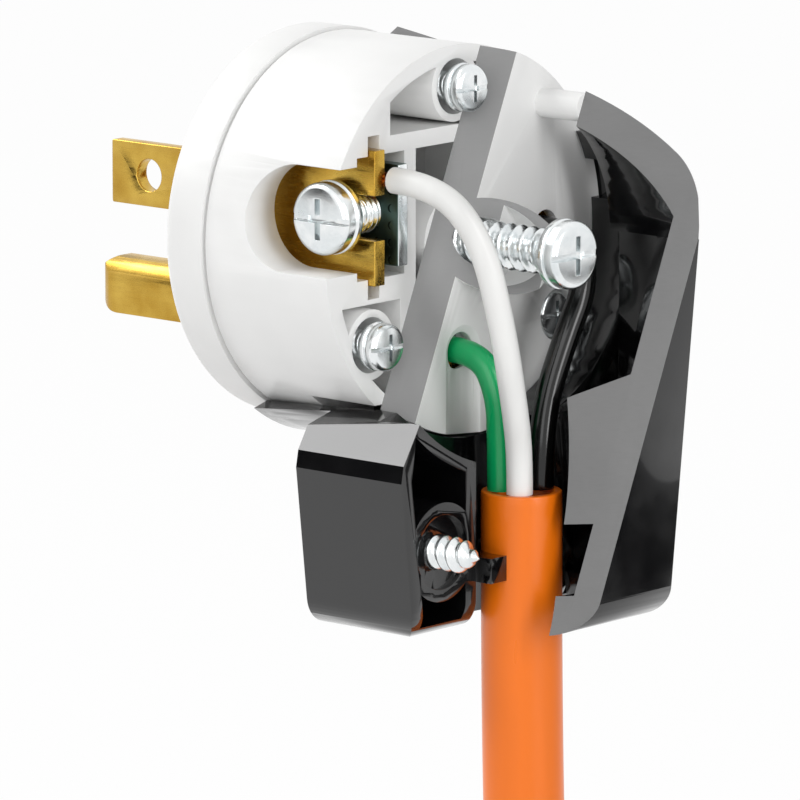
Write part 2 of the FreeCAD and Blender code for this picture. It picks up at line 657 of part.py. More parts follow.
def terminal_cover():
    """The white inner plate with its hub, its peg and the holes for the wires."""
    front = "nose_length - overshoot"
    disc = rod("cover_disc", "x", ("nose_length", "0", "0"), "disc_radius", "disc_thickness")
    hub = cone("cover_hub", "x", (PLATE_BACK, "0", "0"), "hub_foot", "hub_top", "hub_height")
    peg = rod("cover_peg", "x", (PLATE_BACK, "peg_side", "peg_height"), "peg_radius", "covers_gap")
    plain = fuse("cover_plain", [disc, hub])
    shelf = f"{PLATE_BACK} + hub_shelf"
    tools = [rod("cover_bore", "x", (front, "0", "0"), "hub_bore", "far"),
             rod("cover_counterbore", "x", (shelf, "0", "0"), "hub_counterbore", "far")]
    outer = "plate_offset + screw_slack + terminal_head_height + plate_gap"
    for name, (turn, side) in TERMINALS.items():
        relief = block(name + "_relief", (front, f"-({outer})", f"({side}) - plate_slot_half_height"),
                       ("nose_length + relief_depth", "-chamber_inner",
                        f"({side}) + plate_slot_half_height"))
        tools.append(spun(group(name + "_relief_place", [relief]), turn))
        across, up = pattern_point(name, WIRE, f"({side}) + pattern_step")
        tools.append(rod(name + "_wire_hole", "x", (front, across, up), "wire_hole_radius", "far"))
    for label, (across, up) in ASSEMBLY_SCREWS.items():
        tools.append(rod(label + "_hole", "x", (front, across, up), "small_thread_radius + thread_play",
                         "far"))
        tools.append(rod(label + "_sink", "x", (f"{PLATE_BACK} - small_head_height", across, up),
                         "small_head_radius + head_play", "far"))
    across, up = pattern_point("ground", WIRE, f"({TERMINALS['ground'][1]}) + pattern_step")
    channel_x = f"{PLATE_BACK} + channel_radius - channel_depth"
    tools.append(rod("cover_channel", "z", (channel_x, across, "-far"), "channel_radius", f"far + ({up})"))
    hood = doc.addObject("Part::Sphere", "cover_hood")
    hood.setExpression("Radius", bound("channel_radius"))
    place(hood, (channel_x, across, up))
    tools += [hood, main_section("cover_section")]
    whole = checked_cut("cover_cut", plain, tools)
    return fuse("terminal_cover", [whole, peg])


def bottom_rounded(label, base):
    """The rear half of the neck with its outer bottom edges rounded."""
    floor, front = -value("neck_drop"), value(PARTING)
    edges = []
    for number, edge in enumerate(base.Shape.Edges, start=1):
        low = all(abs(corner.Z - floor) < TOUCH for corner in edge.Vertexes)
        if low and not all(abs(corner.X - front) < TOUCH for corner in edge.Vertexes):
            edges.append((number, value("cover_edge"), value("cover_edge")))
    feature = doc.addObject("Part::Fillet", label)
    feature.Base = base
    feature.Edges = edges
    return feature


def rear_cover():
    """The black rear cover: a round cap that runs down into the back half of the cord neck."""
    cap = turned("rear_cap", [(PARTING, "0"), (PARTING, "cap_radius"), (BACK, "cap_radius"), (BACK, "0")])
    back = value(BACK)
    rounded(cap, "rear_cap_round", "cover_edge", lambda edge: all(
        abs(corner.X - back) < TOUCH for corner in edge.Vertexes) and edge.Length > value("cap_radius"))
    neck = doc.addObject("PartDesign::Body", "rear_neck")
    sketch = sketched(neck, "rear_neck_outline", "XZ_Plane", [
        (PARTING, "-neck_drop"), (BACK, "-neck_drop"), (BACK, "0"), (PARTING, "0")])
    pad = neck.newObject("PartDesign::Pad", "rear_neck_pad")
    pad.Profile = sketch
    pad.Midplane = True
    pad.setExpression("Length", bound("2 * cap_radius"))
    neck.Tip = pad
    doc.recompute()
    sharp = cut("rear_sharp", fuse("rear_mass", [cap, neck]), outside_sides("rear_side", "0"))
    doc.recompute()
    outside = bottom_rounded("rear_outside", sharp)
    front = f"{PARTING} - overshoot"
    inner_back = f"({BACK} - back_wall)"
    round_space = rod("rear_round_space", "x", (front, "0", "0"), "cap_inner",
                      "cap_length - back_wall + overshoot")
    low_space = block("rear_low_space", (front, "-cap_radius + side_wall", "-saddle_bottom"),
                      (inner_back, "cap_radius - side_wall", "0"))
    saddle = tilted_block("rear_saddle", Vector(value(inner_back), 0, -value("saddle_back")),
                          Vector(value("saddle_slope"), 0, -1))
    space = cut("rear_space", fuse("rear_spaces", [round_space, low_space]),
                [saddle] + outside_sides("rear_inner_side", "side_wall"))
    hollow = cone("rear_hollow", "z", (CORD_X, "0", "-saddle_bottom"), "saddle_hollow_low",
                  "saddle_hollow_top", "saddle_bottom - saddle_back")
    recess = block("rear_recess", (front, "-recess_half_width", "-recess_bottom"),
                   (f"{inner_back} + recess_extra", "recess_half_width", "-saddle_bottom"))
    throat = cone("rear_throat", "z", (CORD_X, "0", "-neck_drop - overshoot"), "rear_throat_bottom",
                  "rear_throat_top", "neck_drop + overshoot - recess_bottom")
    near_rest = tilted_block("rear_near_rest", Vector(value(CORD_X), 0, 0),
                             Vector(-1, -value("section_slope"), 0))
    tools = [space, hollow, recess, throat, main_section("rear_section"), near_rest]
    for name, sign in (("near", "-"), ("far", "")):
        tools.append(rod(f"rear_{name}_thread", "x", (front, f"{sign}{GRIP_SIDE}", "-grip_drop"),
                         "grip_thread_radius", "grip_reach + overshoot"))
    return checked_cut("rear_cover", outside, tools)


def collar():
    """The collar round the body, tapering towards the rim, cut open at its top.

    Behind the rim only its far side is left, up to the top of the lip.
    """
    whole = turned("front_collar", [
        ("collar_front", COLLAR_INNER), ("collar_front", f"{COLLAR_INNER} + collar_front_wall"),
        ("nose_length", COLLAR_RIM), (PARTING, COLLAR_RIM), (PARTING, COLLAR_INNER)])
    above = block("front_above", ("nose_length", "-far", "lip_top"), ("far", "far", "far"))
    near_side = block("front_near_side", ("nose_length", "-far", "-far"), ("far", "0", "far"))
    return cut("front_ring", whole, [collar_section("front_section"), above, near_side])


def near_top():
    """All that the cutaway takes off the near side of the front cover, above one slanting plane.

    The plane passes through the shoulder's ridge where the covers meet.
    """
    corner = Vector(value(PARTING), -value(RIDGE_SIDE), -value("neck_top") - 2 * TOUCH)
    outward = Vector(-value("ledge_rise"), -value("ledge_tilt"), 1)
    near = block("front_near", ("-far", "-far", "-far"), ("far", "0", "far"))
    return common("front_near_top", [tilted_block("front_ledge", corner, outward), near])


def far_lip():
    """The lip on the far side that keeps the terminal cover in, with a notch for a tab of it."""
    start = (f"{PLATE_BACK} + plate_gap", "0", "0")
    length = "covers_gap - plate_gap"
    low = "-neck_top - shoulder_drop / 2"
    band = cut("lip_band", rod("lip_outer", "x", start, COLLAR_RIM, length),
               [rod("lip_inner", "x", start, "lip_radius", length)])
    reach = block("lip_reach", ("0", "0", low), ("far", "far", "lip_top"))
    notch = common("lip_notch", [
        rod("lip_notch_round", "x", ("0", "0", "0"), COLLAR_INNER, "far"),
        block("lip_notch_space", ("0", "0", "lip_notch_low"), ("far", "far", "lip_notch_high"))])
    return cut("far_lip", common("lip_whole", [band, reach]), [notch])


def cord_tongue():
    """The tongue that reaches round the cord's near side from the front half of the neck."""
    wrapped = rod("tongue_ring", "z", (CORD_X, "0", "-tongue_bottom"), "throat_radius",
                  "tongue_bottom - tongue_top")
    front = block("tongue_front", ("0", "-far", "-far"), (PARTING, "far", "far"))
    side = block("tongue_side", ("0", "-far", "-far"),
                 (f"{CORD_X} + tongue_wrap", "-cord_radius / 2", "far"))
    half = common("tongue_half", [wrapped, fuse("tongue_reach", [front, side])])
    return cut("tongue", half, [rod("tongue_bore", "z", (CORD_X, "0", "-far"), "cord_radius", "2 * far")])


def front_cover():
    """The black front cover: the front half of the cord neck and the collar round the body."""
    right = [(NARROW, "-neck_drop"), (BROW_SIDE, f"-{BROW_LOW}"), (SHOULDER_SIDE, f"-{SHOULDER_LOW}"),
             (RIDGE_SIDE, "-neck_top")]
    left = [(f"-{across}", up) for across, up in reversed(right)]
    neck = doc.addObject("PartDesign::Body", "front_neck")
    sketch = sketched(neck, "front_neck_outline", "YZ_Plane", right + left)
    pad = neck.newObject("PartDesign::Pad", "front_neck_pad")
    pad.Profile = sketch
    pad.setExpression("Length", bound("neck_front"))
    neck.Tip = pad
    doc.recompute()
    floor = -value("neck_drop")
    start = pad.Shape.BoundBox.XMin
    rounded(neck, "front_neck_round", "cover_edge", lambda edge: (
        all(abs(corner.Z - floor) < TOUCH for corner in edge.Vertexes)
        and abs(edge.BoundBox.XMax - start) > TOUCH))
    place(neck, (NECK_FRONT, "0", "0"))
    mass = fuse("front_mass", [neck, collar()])
    seat = rod("front_seat", "x", (f"{NECK_FRONT} - overshoot", "0", "0"), COLLAR_INNER, "far")
    near_seat = common("front_near_seat", [
        rod("front_wide_seat", "x", (PLATE_BACK, "0", "0"), "near_seat_radius", "far"),
        block("front_near_half", ("-far", "-far", "-far"), ("far", "0", "far"))])
    hollow_low = "-neck_drop + pocket_bottom"
    hollow_side = "-throat_radius - pocket_wall"
    hollow = doc.addObject("PartDesign::Body", "front_hollow")
    hollow_outline = [
        (f"-({NARROW} - pocket_wall)", hollow_low), (hollow_side, hollow_low), (hollow_side, "0"),
        (f"-({RIDGE_SIDE} - pocket_wall)", "0"),
        (f"-({SHOULDER_SIDE} - pocket_wall)", f"-{SHOULDER_LOW}"),
        (f"-({BROW_SIDE} - pocket_wall)", f"-{BROW_LOW}")]
    hollow_sketch = sketched(hollow, "front_hollow_outline", "YZ_Plane", hollow_outline)
    hollow_pad = hollow.newObject("PartDesign::Pad", "front_hollow_pad")
    hollow_pad.Profile = hollow_sketch
    hollow_pad.setExpression("Length", bound("pocket_floor + overshoot"))
    hollow.Tip = hollow_pad
    place(hollow, (f"{PARTING} - pocket_floor", "0", "0"))
    under_floor = f"{PARTING} - pocket_floor - overshoot"
    boss = rod("front_boss", "x", (under_floor, f"-{GRIP_SIDE}", "-grip_drop"), "grip_boss", "far")
    rim = rod("front_pocket_rim", "x", (under_floor, "0", "0"), "near_seat_radius + pocket_rim", "far")
    near_hollow = cut("front_near_hollow", hollow, [boss, rim])
    far_hollow = mirrored("front_far_hollow", near_hollow)
    throat = rod("front_throat", "z", (CORD_X, "0", "-neck_drop - overshoot"), "throat_radius", "neck_drop")
    tools = [seat, near_hollow, far_hollow, throat, near_top()]
    for name, sign in (("near", "-"), ("far", "")):
        start = (f"{NECK_FRONT} - overshoot", f"{sign}{GRIP_SIDE}", "-grip_drop")
        tools.append(rod(f"front_{name}_hole", "x", start, "grip_thread_radius", "far"))
        tools.append(rod(f"front_{name}_sink", "x", start, "grip_head_radius + head_play",
                         "overshoot + grip_head_depth + grip_head_height"))
        end = (f"{PARTING} - grip_recess_depth", f"{sign}{GRIP_SIDE}", "-grip_drop")
        tools.append(rod(f"front_{name}_recess", "x", end, "grip_recess_radius", "far"))
    shell = checked_cut("front_shell", mass, tools)
    seated = checked_cut("front_seated", shell, [near_seat])
    return fuse("front_cover", [seated, cord_tongue(), far_lip()])


def route_tube(label, points, radius):
    """A round tube along straight runs joined by tangent arcs.

    Each arc takes 0.45 of the shorter of its two runs, so its radius is that length
    divided by the tangent of half the turn.
    """
    share = 0.45
    edges = []
    start = points[0]
    for before, corner, after in zip(points, points[1:], points[2:]):
        into = (corner - before).normalize()
        onward = (after - corner).normalize()
        setback = share * min((corner - before).Length, (after - corner).Length)
        turn = into.getAngle(onward)
        first = corner - into * setback
        last = corner + onward * setback
        bisector = (onward - into).normalize()
        bend = setback / math.tan(turn / 2)
        middle = corner + bisector * (bend / math.cos(turn / 2) - bend)
        edges.append(Part.LineSegment(start, first).toShape())
        edges.append(Part.Arc(first, middle, last).toShape())
        print(f"{label}: bend radius {bend:.1f} mm, turn {math.degrees(turn):.0f} degrees")
        start = last
    edges.append(Part.LineSegment(start, points[-1]).toShape())
    path = Part.Wire(edges)
    circle = Part.Wire(Part.makeCircle(radius, points[0], points[1] - points[0]))
    tube = path.makePipeShell([circle], True, False)
    plain = math.pi * radius ** 2 * path.Length
    print(f"{label}: length {path.Length:.1f} mm, volume {tube.Volume / plain:.4f} of section times length")
    feature = doc.addObject("Part::Feature", label)
    feature.Shape = tube
    return feature


# Each conductor's route: its terminal, its bearing round the cord's axis, its straight run out,
# the points between (behind the rim, across, up) and its straight run into the jacket.
# The points between are chosen by hand.
ROUTES = {
    "white_conductor": (
        "neutral", -55, 5.8, [(10.8, -8.6, 2.0), (11.5, -6.4, -6.5), (10.9, -3.8, -15.0)], 4.0),
    "black_conductor": ("hot", 68, 5.2, [(9.6, 8.7, -4.4), (9.5, 5.5, -9.6), (9.3, 2.9, -15.2)], 3.8),
    "green_conductor": ("ground", 221, 3.6, [(7.1, -1.8, -14.4)], 5.0),
}
# The jacket's route, from its upper end.
JACKET_ROUTE = [(0, 0, 0), (0, 0, -32), (1.6, 0.9, -64), (4.6, 1.6, -93)]


def wires():
    """The three conductors from the terminals to the jacket, and the jacket itself."""
    ring = value("conductor_ring")
    rim = Vector(value("nose_length"), 0, 0)
    jacket_top = Vector(value(CORD_X), 0, -value("jacket_drop"))
    made = []
    for label, (name, bearing, out, middle, inward) in ROUTES.items():
        turn, side = TERMINALS[name]
        across, up = pattern_point(name, WIRE, f"({side}) + pattern_step")
        start = Vector(value(WIRE_START), value(across), value(up))
        angle = math.radians(bearing)
        end = jacket_top + Vector(ring * math.cos(angle), ring * math.sin(angle), 0)
        points = [start, start + Vector(out, 0, 0)] + [rim + Vector(*point) for point in middle]
        points += [end + Vector(0, 0, inward), end]
        made.append(route_tube(label, points, value("conductor_radius")))
    made.append(route_tube("cord_jacket", [jacket_top + Vector(*point) for point in JACKET_ROUTE],
                           value("cord_radius")))
    return made


pieces += [nose_body(), terminal_cover(), rear_cover(), front_cover()]

# Screws that hold the body, the plate and the covers together; each points to its tip.
CENTRE_RINGS, GRIP_RINGS = 14, 9
for label, (across, up) in ASSEMBLY_SCREWS.items():
    pieces.append(screw(label, ALONG["-x"], (PLATE_BACK, across, up),
                        ("small_head_radius", "small_head_height"), "small_thread_radius",
                        "small_screw_length"))
pieces.append(screw("centre_screw", ALONG["-x"], ("nose_length + centre_head_back", "0", "0"),
                    ("centre_head_radius", "centre_head_height"), "centre_thread_radius",
                    "centre_screw_length", "centre_tip", CENTRE_RINGS))
for label, sign in (("near", "-"), ("far", "")):
    head_top = f"{NECK_FRONT} + grip_head_depth"
    length = f"{PARTING} + grip_reach - ({head_top}) - grip_head_height"
    pieces.append(screw(f"cover_screw_{label}", ALONG["x"], (head_top, f"{sign}{GRIP_SIDE}", "-grip_drop"),
                        ("grip_head_radius", "grip_head_height"), "grip_thread_radius", length,
                        "grip_tip", GRIP_RINGS))
pieces += wires()

doc.recompute()
for item in doc.Objects:
    if "Invalid" in item.State or "Error" in item.State:
        raise RuntimeError(f"{item.Label} failed: {item.State}")
os.makedirs("parts", exist_ok=True)
for piece in pieces:
    shape = piece.Shape
    if shape.isNull() or not shape.isValid() or not shape.Solids:
        raise RuntimeError(f"{piece.Label} has no valid solid")
    shape.exportStep(f"parts/{piece.Label}.step")
    box = shape.BoundBox
    print(f"{piece.Label}: {len(shape.Solids)} solid, volume {shape.Volume:.1f}, x {box.XMin:.1f} to "
          f"{box.XMax:.1f}, y {box.YMin:.1f} to {box.YMax:.1f}, z {box.ZMin:.1f} to {box.ZMax:.1f}")
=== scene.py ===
# %% [markdown]
# A cut-away mains plug, dressed around its fixed frame.
# The real thing is a sample of a right-angle plug with its near side sliced off: white nylon
# inside, glossy black covers, brass blades, zinc screws and an orange cord. The solids of
# every piece come from the frame; here each gets its softened edges, its threads and its finish.
# Starting from the frame and not from a fresh guess keeps every piece at its real place.

# %% Load the frame
import math

import bmesh
import bpy
import numpy as np
from mathutils import Matrix, Vector


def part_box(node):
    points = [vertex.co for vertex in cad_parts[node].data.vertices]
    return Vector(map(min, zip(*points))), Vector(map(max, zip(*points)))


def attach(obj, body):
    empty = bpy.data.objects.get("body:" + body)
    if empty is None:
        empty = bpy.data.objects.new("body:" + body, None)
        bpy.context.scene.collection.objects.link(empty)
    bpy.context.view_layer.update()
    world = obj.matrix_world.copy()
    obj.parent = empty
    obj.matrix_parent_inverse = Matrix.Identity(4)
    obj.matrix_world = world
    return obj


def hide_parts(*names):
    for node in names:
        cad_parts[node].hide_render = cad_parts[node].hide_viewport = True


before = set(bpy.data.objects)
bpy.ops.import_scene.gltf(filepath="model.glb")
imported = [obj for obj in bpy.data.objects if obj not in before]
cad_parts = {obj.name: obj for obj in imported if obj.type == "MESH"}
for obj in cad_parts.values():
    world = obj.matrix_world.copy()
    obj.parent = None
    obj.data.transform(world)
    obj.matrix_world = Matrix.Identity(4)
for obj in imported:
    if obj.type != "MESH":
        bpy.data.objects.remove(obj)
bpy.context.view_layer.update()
MM = 0.001

# %% [markdown]
# The places that several pieces share are read off the frame's own boxes, so that they are
# right by construction. Only the two planes of the cutaway are given as numbers, because a
# box can't tell how a slanted cut runs.

# %% Shared places, in metres
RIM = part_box("nose_body")[1].x
CORD_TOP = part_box("cord_jacket")[1].z
FLOOR_LEVEL = -125 * MM
# A plane of the cutaway: a point on it and the way that its cut faces look.
MAIN_CUT = (Vector((RIM, -4.45 * MM, 0)), Vector((1.07, -1, 0.4363)).normalized())
COLLAR_CUT = (Vector((0, -30.28 * MM, 0)), Vector((0.742, -1, 1.95)).normalized())
print("rim", round(RIM / MM, 2), "cord top", round(CORD_TOP / MM, 2))

# %% [markdown]
# The camera comes first, so that every later choice can be judged from where the photograph
# was taken. A long lens a good way off gives the photograph's flat perspective: the circles
# of the body are all nearly the same ellipse.

# %% Camera
CAMERA_PLACE = Vector((550.34, -619.56, 134.94)) * MM
VIEW_TURN = math.radians(40.89)
VIEW_DROP = math.radians(10.5)
FOCAL_LENGTH = 378.97
view_direction = Vector((-math.cos(VIEW_DROP) * math.sin(VIEW_TURN),
                         math.cos(VIEW_DROP) * math.cos(VIEW_TURN), -math.sin(VIEW_DROP)))
camera_data = bpy.data.cameras.new("camera")
camera_data.lens = FOCAL_LENGTH
camera = bpy.data.objects.new("camera", camera_data)
camera.location = CAMERA_PLACE
camera.rotation_euler = view_direction.to_track_quat("-Z", "Y").to_euler()
bpy.context.scene.collection.objects.link(camera)
bpy.context.scene.camera = camera
bpy.context.scene.view_settings.view_transform = "Standard"
print("camera at", [round(c, 3) for c in CAMERA_PLACE])

# %% [markdown]
# Shader maths is easier to read as arithmetic than as a web of boxes. Signal stands for one
# output of a node, and its operators add Math nodes, so 1 - mask is a node as well. NodeTree
# has one method that makes any other kind of node, and Finish is the tree of one material.


# %% Shader helpers
# Noise seldom leaves this range. A Mix node on colours has its sockets at these places.
NOISE_LOW, NOISE_HIGH = 0.3, 0.7
MIX_FIRST, MIX_SECOND, MIX_RESULT = 6, 7, 2


class Signal:
    """One output of a shader node, which can be used in arithmetic."""

    def __init__(self, owner, socket):
        self.owner = owner
        self.socket = socket

    def maths(self, operation, *values):
        return self.owner.node("ShaderNodeMath", {"operation": operation}, dict(enumerate(values)))

    def __add__(self, other):
        return self.maths("ADD", self, other)

    def __mul__(self, other):
        return self.maths("MULTIPLY", self, other)

    def __sub__(self, other):
        return self.maths("SUBTRACT", self, other)

    def __rsub__(self, other):
        return self.maths("SUBTRACT", other, self)

    def __lt__(self, other):
        return self.maths("LESS_THAN", self, other)

    def __pow__(self, other):
        return self.maths("POWER", self, other)

    __radd__ = __add__
    __rmul__ = __mul__


class NodeTree:
    """The nodes of a material or of the world."""

    def __init__(self, owner):
        owner.use_nodes = True
        self.tree = owner.node_tree

    def node(self, kind, settings=None, inputs=None, output=0):
        """Adds a node: its settings first, then a value or a link on each named input."""
        node = self.tree.nodes.new(kind)
        for name, setting in (settings or {}).items():
            setattr(node, name, setting)
        for name, content in (inputs or {}).items():
            self.feed(node.inputs[name], content)
        return Signal(self, node.outputs[output])

    def feed(self, socket, content):
        if isinstance(content, Signal):
            self.tree.links.new(content.socket, socket)
        else:
            socket.default_value = content


class Finish(NodeTree):
    """A material built of nodes around one shader."""

    def __init__(self, name, **constants):
        self.material = bpy.data.materials.new(name)
        super().__init__(self.material)
        self.shader = self.tree.nodes["Principled BSDF"]
        self.set(**constants)

    def set(self, **constants):
        """Feeds sockets of the shader, named with underscores for spaces."""
        for name, content in constants.items():
            self.feed(self.shader.inputs[name.replace("_", " ")], content)

    def place(self):
        """Object coordinates, which are the frame's own, in metres."""
        return self.node("ShaderNodeTexCoord", output="Object")

    def stretched(self, scale):
        """Object coordinates times a number for each axis."""
        return self.node("ShaderNodeMapping", inputs={"Vector": self.place(), "Scale": scale})

    def noise(self, place, scale, detail=2.0):
        settings = {"Vector": place, "Scale": scale, "Detail": detail}
        return self.node("ShaderNodeTexNoise", inputs=settings)

    def spread(self, signal, low, high):
        """A signal that runs as noise does, between NOISE_LOW and NOISE_HIGH, spread over low to high."""
        inputs = {"Value": signal, "From Min": NOISE_LOW, "From Max": NOISE_HIGH,
                  "To Min": low, "To Max": high}
        return self.node("ShaderNodeMapRange", inputs=inputs)

    def blend(self, share, first, second):
        """The first colour where share is 0, the second where it is 1."""
        inputs = {"Factor": share, MIX_FIRST: first, MIX_SECOND: second}
        return self.node("ShaderNodeMix", {"data_type": "RGBA"}, inputs, output=MIX_RESULT)

    def cloudy_colour(self, cloud, colour, second):
        """A colour that wanders to a second one as the cloud does."""
        self.set(Base_Color=self.blend(self.spread(cloud, 0.0, 1.0), colour, second))

    def bump(self, height, depth, strength=1.0):
        inputs = {"Height": height, "Distance": depth, "Strength": strength}
        self.set(Normal=self.node("ShaderNodeBump", inputs=inputs))
        return self


def paint(red, green, blue):
    """A colour as a picture shows it, 0 to 255, turned into the renderer's linear light.

    The numbers are those of the usual curve: straight near black, a power of 2.4 above.
    """
    shares = [channel / 255 for channel in (red, green, blue)]
    linear = [share / 12.92 if share <= 0.04045 else ((share + 0.055) / 1.055) ** 2.4 for share in shares]
    return (*linear, 1.0)


def times(colour, factor):
    """A colour made lighter or darker, up to white."""
    return tuple(min(1.0, channel * factor) for channel in colour[:3]) + (1.0,)


print("a mid grey of 128 is", round(paint(128, 128, 128)[0], 3), "in linear light")

# %% [markdown]
# White nylon is a moulded, slightly waxy plastic. It isn't pure white: 0.8 or so leaves room
# for highlights. A faint cloudiness in the roughness keeps large faces from looking drawn.


# %% White nylon
def white_nylon(colour, roughness):
    """Moulded nylon: a plain colour, a roughness that wanders a little and a fine tool texture."""
    finish = Finish("white_nylon", IOR=1.53)
    cloud = finish.noise(finish.place(), 90.0, 3.0)
    finish.cloudy_colour(cloud, colour, times(colour, 0.94))
    finish.set(Roughness=finish.spread(cloud, roughness * 0.85, roughness * 1.15))
    return finish.bump(finish.noise(finish.place(), 2600.0, 2.0), 0.006 * MM, 0.35).material


WHITE_NYLON = white_nylon(paint(238, 238, 237), 0.34)
print("white nylon:", [round(channel, 2) for channel in paint(238, 238, 237)])

# %% [markdown]
# The maker of the sample painted every sliced face a flat grey, which is how a reader sees at
# once what was cut. The paint is matt, with the fine scratches of the saw still in it. They
# run one way, so the noise is squeezed along one axis.


# %% Grey paint
def saw_paint(name, colour):
    """Matt paint over a sawn face."""
    finish = Finish(name)
    lines = finish.noise(finish.stretched((900.0, 900.0, 6000.0)), 1.0, 3.0)
    cloud = finish.noise(finish.place(), 60.0, 2.0)
    finish.cloudy_colour(cloud, colour, times(colour, 1.22))
    finish.set(Roughness=finish.spread(lines, 0.5, 0.68))
    return finish.bump(lines, 0.004 * MM, 0.3).material


CUT_GREY = saw_paint("cut_grey", paint(138, 138, 138))
CUT_DARK = saw_paint("cut_dark", paint(112, 112, 112))
print("paints:", CUT_GREY.name, CUT_DARK.name)

# %% [markdown]
# The covers are glossy black plastic, polished in the mould. Such a face is seen by what it
# mirrors, so the base is nearly black and a clear coat carries the reflections. A very shallow
# and wide ripple, as moulded parts have, keeps the mirrored edges from being ruler straight.


# %% Glossy black
def gloss_black():
    finish = Finish("gloss_black", IOR=1.5, Coat_IOR=1.5, Coat_Roughness=0.03)
    ripple = finish.noise(finish.place(), 130.0, 1.0)
    finish.set(Base_Color=(0.004, 0.004, 0.0045, 1.0), Coat_Weight=0.6)
    finish.set(Roughness=finish.spread(finish.noise(finish.place(), 300.0, 2.0), 0.09, 0.16))
    return finish.bump(ripple, 0.012 * MM, 0.25).material


GLOSS_BLACK = gloss_black()
print("gloss:", GLOSS_BLACK.name)

# %% [markdown]
# Metals differ in colour, but above all in how their surface was made. The brass was rolled
# into sheet and stamped, so it has fine lines along the strip. The screws were headed and zinc
# plated, which leaves a bright grain with no direction, and so has bare copper wire.


# %% Metals
def rolled_brass():
    finish = Finish("rolled_brass", Metallic=1.0)
    lines = finish.noise(finish.stretched((500.0, 4000.0, 4000.0)), 1.0, 3.0)
    cloud = finish.noise(finish.place(), 220.0, 3.0)
    finish.cloudy_colour(cloud, paint(214, 178, 84), paint(178, 136, 48))
    finish.set(Roughness=finish.spread(lines, 0.16, 0.34))
    return finish.bump(lines, 0.003 * MM, 0.4).material


def grained_metal(name, bright, dull, low_roughness, high_roughness):
    finish = Finish(name, Metallic=1.0)
    grain = finish.noise(finish.place(), 1900.0, 3.0)
    cloud = finish.noise(finish.place(), 420.0, 3.0)
    finish.cloudy_colour(cloud, bright, dull)
    finish.set(Roughness=finish.spread(cloud, low_roughness, high_roughness))
    return finish.bump(grain, 0.004 * MM, 0.3).material


BRASS = rolled_brass()
ZINC = grained_metal("zinc_plate", paint(246, 248, 248), paint(222, 228, 230), 0.16, 0.28)
COPPER = grained_metal("bare_copper", paint(216, 142, 100), paint(188, 108, 70), 0.2, 0.32)
print("metals:", BRASS.name, ZINC.name, COPPER.name)

# %% [markdown]
# The pressure plate is steel with a greenish passivation, embossed with small dimples that bite
# into the strands. A dimple is a bump of a disc, and the shade on its wall is painted as a dark
# crescent: one disc less another that is moved aside. Working it out in the shader costs no faces,
# and the grid stays even over the plate.

# %% Dimpled steel
# Lengths inside a cell are shares of the cell's side.
DIMPLE_STEP = 1.7 * MM
DIMPLE_RADIUS = 0.24
DIMPLE_SHIFT = 0.13


def dimpled_steel():
    """Dark steel with a square grid of painted shade crescents: a disc in each cell, less a disc moved a
    little.
    """
    finish = Finish("dimpled_steel", Metallic=1.0)
    split = "ShaderNodeSeparateXYZ"
    along = finish.node(split, inputs={"Vector": finish.place()}, output=0) * (1 / DIMPLE_STEP)
    up = finish.node(split, inputs={"Vector": finish.place()}, output=2) * (1 / DIMPLE_STEP)
    across, high = [way.maths("FRACT", way) - 0.5 for way in (along, up)]
    disc = ((across * across + high * high) ** 0.5) < DIMPLE_RADIUS
    moved = across - DIMPLE_SHIFT
    inner = ((moved * moved + high * high) ** 0.5) < DIMPLE_RADIUS
    # The crescent is painted shade: the dimple's wall turned from the light is drawn darker in the colour.
    painted_shade_crescent = disc * (1 - inner)
    cloud = finish.noise(finish.place(), 500.0, 2.0)
    finish.set(Base_Color=finish.blend(painted_shade_crescent, paint(92, 112, 106), paint(34, 44, 40)))
    finish.set(Roughness=finish.spread(cloud, 0.3, 0.42))
    return finish.bump(1 - disc, 0.03 * MM, 0.6).material


DIMPLED = dimpled_steel()
print("dimples", round(DIMPLE_STEP / MM, 1), "mm apart")

# %% [markdown]
# The cord's sheath and the conductors' insulation are soft PVC. It shines in broad soft bands
# and is never quite even, so the same function makes all four, each with its own colour.


# %% Soft plastics of the cord
def soft_plastic(name, colour, roughness):
    """Extruded PVC: even colour, soft shine and faint ripples along the run."""
    finish = Finish(name, IOR=1.5)
    cloud = finish.noise(finish.stretched((260.0, 260.0, 40.0)), 1.0, 2.0)
    finish.cloudy_colour(cloud, colour, times(colour, 0.88))
    finish.set(Roughness=finish.spread(cloud, roughness * 0.85, roughness * 1.15))
    return finish.bump(finish.noise(finish.place(), 700.0, 2.0), 0.006 * MM, 0.3).material


ORANGE = soft_plastic("orange_sheath", paint(252, 122, 10), 0.32)
GREEN = soft_plastic("green_insulation", paint(10, 172, 100), 0.26)
WIRE_WHITE = soft_plastic("white_insulation", paint(242, 242, 240), 0.36)
WIRE_BLACK = soft_plastic("black_insulation", paint(8, 8, 8), 0.13)
print(len(bpy.data.materials), "finishes")

# %% [markdown]
# A sharp edge on a rendered solid gives it away, because every real edge is rounded enough to
# catch a line of light. So each solid of the frame is copied, its loose triangles are joined
# into flat faces, and a Bevel modifier rounds the edges. Another way is the shader's own bevel,
# which is quicker but leaves the mesh itself sharp.

# %% Showing and softening a piece
# An edge that turns by more than SHARP is rounded.
SHARP = math.radians(32)


def show(piece, node_names, materials):
    """Puts a finished piece in the scene in place of its frame nodes."""
    for material in materials:
        piece.data.materials.append(material)
    bpy.context.scene.collection.objects.link(piece)
    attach(piece, "root")
    if node_names:
        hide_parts(*node_names)


def soften(piece, width, angle=SHARP):
    """Rounds the sharp edges of a piece and keeps its flat faces flat in the shading."""
    bevel = piece.modifiers.new("soft_edges", "BEVEL")
    bevel.width = width
    bevel.segments = 2
    bevel.limit_method = "ANGLE"
    bevel.angle_limit = angle
    bevel.harden_normals = True


def smooth(mesh):
    mesh.polygons.foreach_set("use_smooth", np.ones(len(mesh.polygons), bool))


print("edges sharper than", round(math.degrees(SHARP)), "degrees get rounded")

